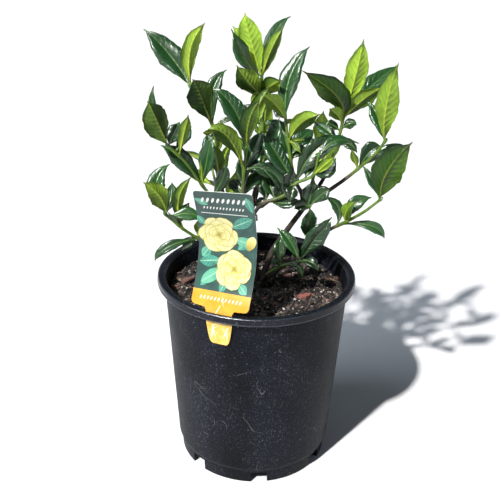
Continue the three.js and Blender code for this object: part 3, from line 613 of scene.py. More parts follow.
def make_pot():
    """One shell of the wall's plastic, glossier on the rim, and with a paler base along its edges as a
    painted highlight.
    """
    flange_under = POT_HEIGHT - FLANGE_THICKNESS
    skirt_low = POT_HEIGHT - SKIRT_HEIGHT
    skirt_inside = RIM_RADIUS - SKIRT_THICKNESS
    floor_top = GUTTER_HEIGHT + WALL_THICKNESS
    bead = RIM_RADIUS + RIM_BEAD
    profile = [
        (0, 0), (BASE_DISC_RADIUS, 0), (BASE_DISC_RADIUS + 2, GUTTER_HEIGHT),
        (FOOT_INNER_RADIUS - 1, GUTTER_HEIGHT), (FOOT_INNER_RADIUS, 0), (FOOT_RADIUS, 0),
        (FOOT_RADIUS + 0.6, FOOT_HEIGHT), (WALL_LOW_RADIUS - 1, FOOT_HEIGHT + 1.5),
        (wall_radius(FOOT_HEIGHT + 5), FOOT_HEIGHT + 5), (wall_radius(flange_under), flange_under),
        (skirt_inside, flange_under), (skirt_inside, skirt_low), (RIM_RADIUS - 0.4, skirt_low),
        (bead, skirt_low + 0.7), (bead, skirt_low + 1.3), (RIM_RADIUS - 0.1, skirt_low + 2),
        (RIM_RADIUS, POT_HEIGHT - 1.3), (RIM_RADIUS - 1.2, POT_HEIGHT), (WALL_TOP_RADIUS, POT_HEIGHT),
        (wall_inside(POT_HEIGHT - 3), POT_HEIGHT - 3),
        (wall_inside(floor_top + FLOOR_CORNER), floor_top + FLOOR_CORNER),
        (wall_inside(floor_top) - FLOOR_CORNER, floor_top), (BASE_DISC_RADIUS, floor_top),
        (BASE_DISC_RADIUS - 2, WALL_THICKNESS), (0, WALL_THICKNESS),
    ]
    shape = Shape()
    put_turned(shape, rounded(profile, CORNER_ROUNDING), POT_SIDES)
    pot = shape.finish("pot_shell", [
        pot_material("pot_wall", (0.42, 0.6), 0.1),
        pot_material("pot_rim", (0.18, 0.3), 0.24, 0.45, (0.0015, 0.0022, 0.005)),
        # The edges: a paler base, a painted highlight, with real extra gloss
        pot_material("pot_edge_painted_highlight", (0.14, 0.26), 0.6, 0.5, (0.022, 0.026, 0.034)),
    ])
    carve(pot, pot_cutters())
    for face in pot.data.polygons:
        face.use_smooth = True
        z, radius = face.center.z / MM, face.center.xy.length / MM
        on_rim = z > skirt_low - 0.5 and radius > wall_inside(POT_HEIGHT)
        # The flange's outer edge and the skirt's bead take the edge material with its painted highlight.
        on_painted_highlight_edge = radius > RIM_RADIUS - 1.25 and not skirt_low + 1.9 < z < POT_HEIGHT - 1.35
        face.material_index = int(on_rim) + int(on_rim and on_painted_highlight_edge)
    pot.data.set_sharp_from_angle(angle=POT_SHARP_ANGLE)
    hand_over(pot, "pot")


# The label

# The card's line from its tongue to its top edge, as (distance from the pot's axis, height)
CARD_PROFILE = [
    (94.4, 172), (95.2, 188), (95.8, 199), (95.8, 206), (93.5, 213), (86, 227),
    (78.5, 244), (74.5, 265), (76.5, 286), (81.5, 304), (87, 320),
]
# Half the card's width at each height
CARD_OUTLINE = [
    (172, 6.5), (173, 8.2), (175, 9.5), (181, 11), (192, TONGUE_HALF_WIDTH - 0.4), (199, TONGUE_HALF_WIDTH),
    (206, TONGUE_HALF_WIDTH), (209.2, TONGUE_HALF_WIDTH + 1.5), (210, CARD_HALF_WIDTH - 2.5),
    (211, CARD_HALF_WIDTH - 0.2), (213, CARD_HALF_WIDTH + 1), (227, CARD_HALF_WIDTH + 0.8),
    (265, CARD_HALF_WIDTH), (304, CARD_HALF_WIDTH - 0.8), (317, CARD_HALF_WIDTH - 1),
    (319.2, CARD_HALF_WIDTH - 2), (320, CARD_HALF_WIDTH - 4),
]
CARD_LINE = np.array(Curve([(r, 0, z) for r, z in CARD_PROFILE]).samples(400))
CARD_COLUMNS = 11
FIELD_COLUMNS = 5
PRINT_ROWS = 14
PRINT_COLUMNS = 9
CARD_FACE, CARD_FOOT, CARD_BACK, CARD_TONGUE = range(4)
FOOT_FIELD_TOP = 223
INK_DARK, INK_LEAF, INK_PETAL, INK_SHADE, INK_WHITE, INK_PAINTED_GLINT = range(6)
PRINT_LIFT = CARD_THICKNESS / 2 + 0.06
INK_LEVEL = 0.008
PETAL_LEVEL = 0.014
# Rings of petals in a blossom: their count, and their length and width as shares of its size
PETAL_RINGS = [(6, 1.0, 1.0), (6, 0.78, 0.78), (5, 0.55, 0.62), (4, 0.34, 0.42)]
# Middle on the card, size, lift and turn
BLOSSOMS = [((-7.5, 274.5), 18.2, 0.12, 0.3), ((8.5, 243.5), 17.2, 0.5, 0.9)]
# Foot on the card, angle, length, width and tone
PRINTED_LEAVES = [
    ((4, 283), 0.5, 23, 11, 0.2), ((6, 272), -0.25, 20, 10, 0.9), ((-16, 262), -2.2, 13, 9, 0.6),
    ((-6, 250), 3.3, 20, 11, 0.1), ((-3, 243), -2.5, 24, 11, 1.0), ((2, 233), -2.0, 11, 7, 0.4),
    ((10, 262), 0.7, 19, 10, 0.5), ((14, 232), -0.7, 12, 8, 0.8), ((-20, 284), 2.2, 11, 7, 0.3),
    ((-26, 312), -0.5, 13, 6, 0.7), ((25, 301), 1.9, 16, 7, 0.5), ((-22, 226), 0.8, 9, 5, 0.2),
]
# Rows of slanted ovals that stand for print: count, height, start, step and length of one
OVAL_ROWS = [(9, 308.5, -20, 4.6, 5.6), (13, 301.5, -19, 2.9, 3), (12, 215.6, -20, 3.5, 3.2)]
OVAL_SLANT = 1.15
# Painted highlights as pale streaks on the tongue and foot: foot on the card, angle, length and width
TONGUE_PAINTED_GLINTS = [
    ((-8, 177), 1.4, 17, 1.5), ((-3, 175), 1.8, 19, 0.9), ((4, 179), 1.2, 15, 1.3), ((6, 197), 2.0, 8, 0.7),
    ((-4, 203), 1.1, 11, 0.8), ((4, 211), 1.9, 10, 0.6), ((8, 176), 1.6, 11, 0.8), ((-9, 186), 0.6, 10, 0.6),
    ((2, 190), -0.5, 9, 0.7), ((-1, 183), 2.4, 9, 0.6), ((-7, 192), 0.35, 14, 0.8),
]


def card_frame(z):
    """Outward and sideways of the card at a height: it twists from its foot to its top edge."""
    share = max(0, z - POT_HEIGHT) / (CARD_PROFILE[-1][1] - POT_HEIGHT)
    turn = CARD_TURN + CARD_TWIST * share
    return np.array([math.sin(turn), -math.cos(turn), 0]), np.array([math.cos(turn), math.sin(turn), 0])


def card_radius(z):
    return np.interp(z, CARD_LINE[:, 2], CARD_LINE[:, 0])


def card_half_width(z):
    return np.interp(z, *zip(*CARD_OUTLINE))


def on_card(across, z, lift):
    """A point on the card: across its width and at a height, lifted off its front by a small amount."""
    outward, _ = card_frame(0)
    facing, sideways = card_frame(z)
    slope = (card_radius(z + 1) - card_radius(z - 1)) / 2
    normal = unit(facing - np.array([0, 0, slope]))
    across -= CARD_LEAN * max(0, z - POT_HEIGHT)
    return outward * card_radius(z) + sideways * across + np.array([0, 0, z]) + normal * lift


def put_field(shape, rows, lift, slot):
    """A patch of print that follows the card's bow: each row gives its height and its two ends."""
    points = [on_card(across, z, lift) for z, left, right in rows
              for across in np.linspace(left, right, FIELD_COLUMNS)]
    shape.put(points, grid_faces(len(rows), FIELD_COLUMNS), slot)


def put_print(shape, foot, angle, length, width, lift, slot, blunt=0.6, wave=0.0, tone=0.0):
    """A printed petal or leaf that starts at its foot and points along the angle, with a waved outline."""
    c, s = math.cos(angle), math.sin(angle)
    points, data = [], []
    for t in np.linspace(0, 1, PRINT_ROWS):
        half = width / 2 * math.sin(math.pi * min(1, 0.04 + 0.96 * t) ** 1.15) ** blunt
        half *= 1 + wave * math.sin(9 * t + 5 * angle)
        for u in np.linspace(-1, 1, PRINT_COLUMNS):
            x, y = length * t, half * u
            points.append(on_card(foot[0] + x * c - y * s, foot[1] + x * s + y * c, lift))
            data.append((t, abs(u), tone, 0))
    shape.put(points, grid_faces(PRINT_ROWS, PRINT_COLUMNS, 0, True), slot, data)


def put_blossom(shape, centre, size, lift, turn):
    """A full blossom of rings of round petals, each petal over a thin shade of its own."""
    level = PRINT_LIFT + lift
    for count, share, width in PETAL_RINGS:
        for k in range(count):
            angle = turn + (k + 1.7 * share + 0.2 * math.sin(3 * k)) * FULL_TURN / count
            long = size * share * (1 + 0.08 * math.sin(5 * k + 9 * share))
            put_print(shape, centre, angle, long * 1.03, size * width * 1.05, level, INK_SHADE, 0.5, 0.12)
            put_print(shape, centre, angle, long, size * width, level + INK_LEVEL, INK_PETAL, 0.5, 0.12)
            level += PETAL_LEVEL


def make_card():
    """The card itself, closed and thin, orange at its foot and paler on the tongue below the flange."""
    low, high = CARD_OUTLINE[0][0], CARD_OUTLINE[-1][0]
    heights = sorted({*np.arange(low, high + 0.01, 1.5), *[z for z, _ in CARD_OUTLINE]})
    points = [on_card(card_half_width(z) * share, z, side * CARD_THICKNESS / 2)
              for side in (1, -1) for z in heights for share in np.linspace(-1, 1, CARD_COLUMNS)]
    faces = slab_faces(len(heights), CARD_COLUMNS)
    slots = []
    for z in heights[:-1]:
        front = CARD_TONGUE if z < POT_HEIGHT - 5 else CARD_FOOT if z < FOOT_FIELD_TOP else CARD_FACE
        slots += [front] * (CARD_COLUMNS - 1)
    slots += [CARD_BACK] * (len(faces) - len(slots))
    card = Shape()
    card.put(points, faces, slots)
    piece = card.finish("label_card", [
        print_material("card_dark", (0.02, 0.052, 0.045), (0.036, 0.092, 0.078)),
        print_material("card_orange", (0.62, 0.27, 0.02), (0.74, 0.38, 0.045)),
        print_material("card_white", (0.6, 0.6, 0.58), (0.75, 0.75, 0.72)),
        print_material("card_tongue", (0.68, 0.36, 0.03), (0.85, 0.58, 0.15)),
    ])
    piece.data.set_sharp_from_angle(angle=CARD_SHARP_ANGLE)
    hand_over(piece, "plant_label")


def make_design():
    """A plain printed design in the card's own colours, laid on its front, with painted highlights as pale
    streaks on the tongue and foot.
    """
    design = Shape()
    edges = [(z, card_half_width(z) - 0.7) for z in np.linspace(298, 318.6, 14)]
    put_field(design, [(z, -half, half) for z, half in edges], PRINT_LIFT, INK_DARK)
    put_field(design, [(z, -22, 20) for z in np.linspace(296.6, 297.3, 3)], PRINT_LIFT + 0.02, INK_WHITE)
    for foot, angle, length, width, tone in PRINTED_LEAVES:
        lift = PRINT_LIFT + 0.03 + 0.05 * tone
        put_print(design, foot, angle, length, width, lift, INK_LEAF, 0.8, 0.02, tone)
    for blossom in BLOSSOMS:
        put_blossom(design, *blossom)
    put_print(design, (19, 262), 1.2, 15, 9, PRINT_LIFT + 0.1, INK_PETAL, 0.6, 0.03)
    for count, z, start, step, length in OVAL_ROWS:
        for k in range(count):
            foot = (start + k * step, z)
            put_print(design, foot, OVAL_SLANT, length, length * 0.4, PRINT_LIFT + 0.1, INK_WHITE, 0.5)
    # Painted highlights: pale streaks for the light caught by the creased tongue and orange foot
    for foot, angle, length, width in TONGUE_PAINTED_GLINTS:
        put_print(design, foot, angle, length, width, PRINT_LIFT + 0.02, INK_PAINTED_GLINT, 0.8, 0.3)
    piece = design.finish("label_design", [
        print_material("ink_dark", (0.026, 0.055, 0.05), (0.042, 0.085, 0.078)),
        printed_leaf_material(),
        petal_material(),
        print_material("ink_shade", (0.24, 0.2, 0.04), (0.36, 0.31, 0.08)),
        print_material("ink_white", (0.66, 0.68, 0.66), (0.78, 0.8, 0.78)),
        # Pale streaks of painted highlight
        print_material("ink_painted_glint", (0.9, 0.78, 0.5), (0.97, 0.93, 0.8), 0.15),
    ])
    hand_over(piece)


# The potting mix

PHI = (1 + 5 ** 0.5) / 2
CRUMB_CORNERS = np.array([
    (-1, PHI, 0), (1, PHI, 0), (-1, -PHI, 0), (1, -PHI, 0), (0, -1, PHI), (0, 1, PHI), (0, -1, -PHI),
    (0, 1, -PHI), (PHI, 0, -1), (PHI, 0, 1), (-PHI, 0, -1), (-PHI, 0, 1),
]) / math.sqrt(1 + PHI * PHI)
CRUMB_FACES = [
    (0, 11, 5), (0, 5, 1), (0, 1, 7), (0, 7, 10), (0, 10, 11), (1, 5, 9), (5, 11, 4), (11, 10, 2),
    (10, 7, 6), (7, 1, 8), (3, 9, 4), (3, 4, 2), (3, 2, 6), (3, 6, 8), (3, 8, 9), (4, 9, 5), (2, 4, 11),
    (6, 2, 10), (8, 6, 7), (9, 8, 1),
]
SOIL_COLOUR = (0.02, 0.015, 0.011, 1)
CHIP_COLOUR = np.array([0.11, 0.05, 0.032])
FIBRE_COLOUR = np.array([0.25, 0.16, 0.085])
# The crumbs' colours, each with its weight in the draw
CRUMB_COLOURS = [
    ((0.012, 0.01, 0.0095), 0.36), ((0.028, 0.022, 0.019), 0.26), ((0.06, 0.045, 0.038), 0.15),
    ((0.11, 0.08, 0.062), 0.1), ((0.23, 0.175, 0.12), 0.07), ((0.085, 0.036, 0.028), 0.05),
    ((0.38, 0.33, 0.24), 0.045),
]
# Bark seen in the photograph: place, length, width, turn in degrees and colour
LARGE_CHIPS = [
    (46, -19, 17, 9, 20, (0.27, 0.085, 0.06)),
    (30, 25, 14, 8, -8, (0.2, 0.1, 0.08)),
    (-70, 11, 15, 8, 30, (0.17, 0.075, 0.05)),
]
CHIP_STEPS = 9
CHIP_COLUMNS = (-1, -0.35, 0.35, 1)
MIX_SEED = 11


def mix_height(x, y):
    r = np.hypot(x, y) / WALL_TOP_RADIUS
    lumps = np.sin(x * 0.31 + 1.3) * np.cos(y * 0.27 + 0.4) + 0.6 * np.sin(x * 0.11 - y * 0.17 + 2.1)
    return MIX_LEVEL + MIX_CROWN_RISE * (1 - r * r) + MIX_GRAIN * lumps


def spot_on_mix(random, inner=0.0):
    radius = STREWN_RADIUS * math.sqrt(random.uniform(inner, 1))
    angle = random.uniform(0, FULL_TURN)
    return radius * math.cos(angle), radius * math.sin(angle)


def put_crumb(shape, random, centre, size, colour):
    """One angular crumb: an icosahedron pulled about, turned at random."""
    pulled = CRUMB_CORNERS * (0.72 + 0.5 * random.random((len(CRUMB_CORNERS), 1)))
    pulled = pulled * [1, 0.6 + 0.5 * random.random(), random.uniform(0.75, 1.0) * 0.7]
    a, b = random.uniform(0, FULL_TURN), random.uniform(-0.7, 0.7)
    spin = np.array([[math.cos(a), -math.sin(a), 0], [math.sin(a), math.cos(a), 0], [0, 0, 1]])
    tip = np.array([[1, 0, 0], [0, math.cos(b), -math.sin(b)], [0, math.sin(b), math.cos(b)]])
    shape.put(pulled @ (spin @ tip).T * size + centre, CRUMB_FACES, 0, (*colour, 1))


def put_chip(shape, random, x, y, length, width, turn, colour):
    """A wedge of bark, half sunk: a thin slab with a broken edge and a split surface."""
    a = math.radians(turn)
    across = np.array([-math.sin(a), math.cos(a), 0])
    along = np.array([math.cos(a), math.sin(a), 0])
    centre = np.array([x, y, float(mix_height(x, y)) + 0.6])
    points = []
    for side in (1, -1):
        for i in range(CHIP_STEPS):
            t = i / (CHIP_STEPS - 1)
            half = width / 2 * (0.35 + 0.65 * math.sin(math.pi * min(1, t * 0.8 + 0.15)))
            half *= 0.85 + 0.3 * random.random()
            for u in CHIP_COLUMNS:
                lift = side * (1.7 - 0.7 * abs(u)) + 0.35 * (random.random() - 0.5)
                rise = np.array([0, 0, lift + 0.12 * (t - 0.5) * length])
                points.append(centre + along * (t - 0.5) * length + across * u * half + rise)
    shape.put(points, slab_faces(CHIP_STEPS, len(CHIP_COLUMNS)), 0, (*colour, 1))


def make_mix_body(grains):
    """The body of the mix: it fills the pot up to an uneven top."""
    floor_top = GUTTER_HEIGHT + WALL_THICKNESS + SEAT_GAP
    bottom = WALL_THICKNESS + SEAT_GAP
    profile = [
        (0, bottom), (BASE_DISC_RADIUS - 3, bottom), (BASE_DISC_RADIUS - 1, floor_top),
        (wall_inside(floor_top) - SEAT_GAP - FLOOR_CORNER - SEAT_GAP, floor_top),
        (wall_inside(floor_top + FLOOR_CORNER) - SEAT_GAP, floor_top + FLOOR_CORNER + SEAT_GAP),
        (wall_inside(MIX_LEVEL - 8) - SEAT_GAP, MIX_LEVEL - 8),
    ]
    top_radius = wall_inside(MIX_LEVEL) - SEAT_GAP
    profile += [(top_radius * share, MIX_LEVEL) for share in np.linspace(1, 0.02, MIX_RINGS)]
    profile.append((0, MIX_LEVEL))
    body = Shape()
    put_turned(body, profile, MIX_SIDES, SOIL_COLOUR)
    points = body.points[0]
    top = points[:, 2] > MIX_LEVEL - 1
    x, y = points[top, 0], points[top, 1]
    ripple = 0.5 * np.sin(x * 1.9 + np.sin(y * 1.3)) * np.cos(y * 2.2 + 0.7 * np.sin(x * 0.9))
    points[top, 2] = mix_height(x, y) + ripple - 0.6
    hand_over(body.finish("mix_body", [grains], "grain_colour"), "potting_mix")


def strew_crumbs(crumbs, random):
    """Dark and brown crumbs all over the mix, one in five of them large, and none in the trunk."""
    colours = [colour for colour, _ in CRUMB_COLOURS]
    weights = np.array([weight for _, weight in CRUMB_COLOURS])
    for k in range(GRAIN_COUNT):
        x, y = spot_on_mix(random)
        size = random.uniform(*(CRUMB_SIZES if k % 5 else LARGE_CRUMB_SIZES))
        if math.hypot(x - CROWN[0], y - CROWN[1]) < TRUNK_RADIUS + size:
            continue
        colour = np.array(colours[random.choice(len(colours), p=weights / weights.sum())])
        colour *= random.uniform(0.7, 1.3)
        put_crumb(crumbs, random, (x, y, mix_height(x, y) + random.uniform(-0.3, 0.9)), size, colour)


def strew_bark_and_perlite(bits, random):
    for _ in range(PERLITE_COUNT):
        x, y = spot_on_mix(random, 0.05)
        tint = random.uniform(0.42, 0.68)
        size = random.uniform(*PERLITE_SIZES)
        put_crumb(bits, random, (x, y, mix_height(x, y) + 0.9), size, (tint, tint * 0.94, tint * 0.8))
    for chip in LARGE_CHIPS:
        put_chip(bits, random, *chip)
    for _ in range(SMALL_CHIP_COUNT):
        x, y = spot_on_mix(random, 0.06)
        colour = CHIP_COLOUR * random.uniform(0.5, 1.8)
        length, width, turn = (random.uniform(*span) for span in (CHIP_LENGTHS, CHIP_WIDTHS, (0, 360)))
        put_chip(bits, random, x, y, length, width, turn, colour)


def strew_fibres(fibres, random):
    """Bent fibres that lie on the mix, cut off where they would meet the wall."""
    for _ in range(FIBRE_COUNT):
        x, y = spot_on_mix(random, 0.05)
        angle, bend = random.uniform(0, FULL_TURN), random.uniform(-0.5, 0.5)
        length = random.uniform(*FIBRE_LENGTHS)
        points = []
        for t in np.linspace(-0.5, 0.5, FIBRE_POINTS):
            px = x + length * t * math.cos(angle + bend * t)
            py = y + length * t * math.sin(angle + bend * t)
            if math.hypot(px, py) < STREWN_RADIUS + 0.5:
                points.append((px, py, float(mix_height(px, py)) + 1.1 + 0.5 * math.cos(3 * t)))
        if len(points) > 3:
            colour = FIBRE_COLOUR * random.uniform(0.5, 1.5)
            put_tube(fibres, points, np.linspace(0.35, 0.15, len(points)), 5, 0, (*colour, 1))


def make_mix():
    """The body of the mix, and what is strewn on it: crumbs, bark with perlite, and fibres."""
    grains = grain_material()
    make_mix_body(grains)
    random = np.random.default_rng(MIX_SEED)
    for name, strew in (("mix_crumbs", strew_crumbs), ("mix_bark_and_perlite", strew_bark_and_perlite),
                        ("mix_fibres", strew_fibres)):
        shape = Shape()
        strew(shape, random)
        piece = shape.finish(name, [grains], "grain_colour", smooth=strew is strew_fibres)
        hand_over(piece)


# The shrub

HALF_COLUMNS = [0.08, 0.18, 0.3, 0.44, 0.6, 0.76, 0.9, 1]
COLUMNS = np.array([-u for u in reversed(HALF_COLUMNS)] + [0] + HALF_COLUMNS)
VEIN_PAIRS = 10
VEIN_SWEEP = 0.2
VEIN_STAGGER = 0.12
FULL_QUILT_WIDTH = 18
GROOVE_START = 0.55
BLADE_START = 0.12
ROLL_START = 0.72
CURL_START = 0.8
# Where the darker tip starts: dry tip and painted shade of the curl
DARK_TIP_START = 0.93
EDGE_WOBBLE = 0.03
BELLY = 0.44
RIB_WIDTH = 0.75
TOP_QUILT = 0.18
TOP_GROOVE = 0.13
TOP_RIB = 0.3
UNDER_QUILT = 1.1
UNDER_GROOVE = 0.16
UNDER_RIB = 0.75
# How sharply a leaf's painted shade changes from one half to the other
PAINTED_SHADE_EDGE = 1.6
# Painted shade inside the shrub: leaves near this heart come out darker green
SHRUB_HEART = np.array([10, 0, 275])
SHRUB_HEART_SIZE = np.array([75, 75, 60])
INNER_PAINTED_SHADE = 0.5
BUD_NUMBERS = (0.1, 0.5, 0.5, 0.6, 0, 0, 0, 0)
STEM_SWELL = 0.35
SWELL_REACH = 2.2
SMALL_LEAF = 26
SMALL_LEAF_TONE = -0.45
WIDE_LEAF = 24
WIDE_LEAF_TONE = -0.35
YOUNG_REACH = 30
SHOOT_PHASE = 1.9
LEAF_PHASE = 2.3
WOOD_SEED = 5
LEAF_SEED = 101
TO_FRONT = np.array([0, -0.9, 0.5])
TOP = 1
UNDER = -1
FREE = 0
Leaf = namedtuple("Leaf", "node reach width side bow turn deep")
Shoot = namedtuple("Shoot", "name wood bud stem leaves whorls", defaults=[[], []])


def leaf(node, reach, width, side, bow=(0, 0, 0), turn=0, deep=0):
    """A leaf that shows its top leans back, one that shows its underside leans forward, as in the part.

    Painted shade makes it a darker green, most of all on one half, and on the other half where it is
    negative.
    """
    share = LEAN_BACK if side == TOP else side * -LEAN_FRONT
    lean = share * math.hypot(*reach)
    leant = np.array([reach[0], reach[1] + lean, reach[2] - lean * LEAN_DROP], float)
    return Leaf(node, leant, width, side, np.array(bow, float), turn, deep)


MAIN_STEM = [CROWN, (9, 2, 206), (15, 4, 224), (27, 6, 244), FORK]
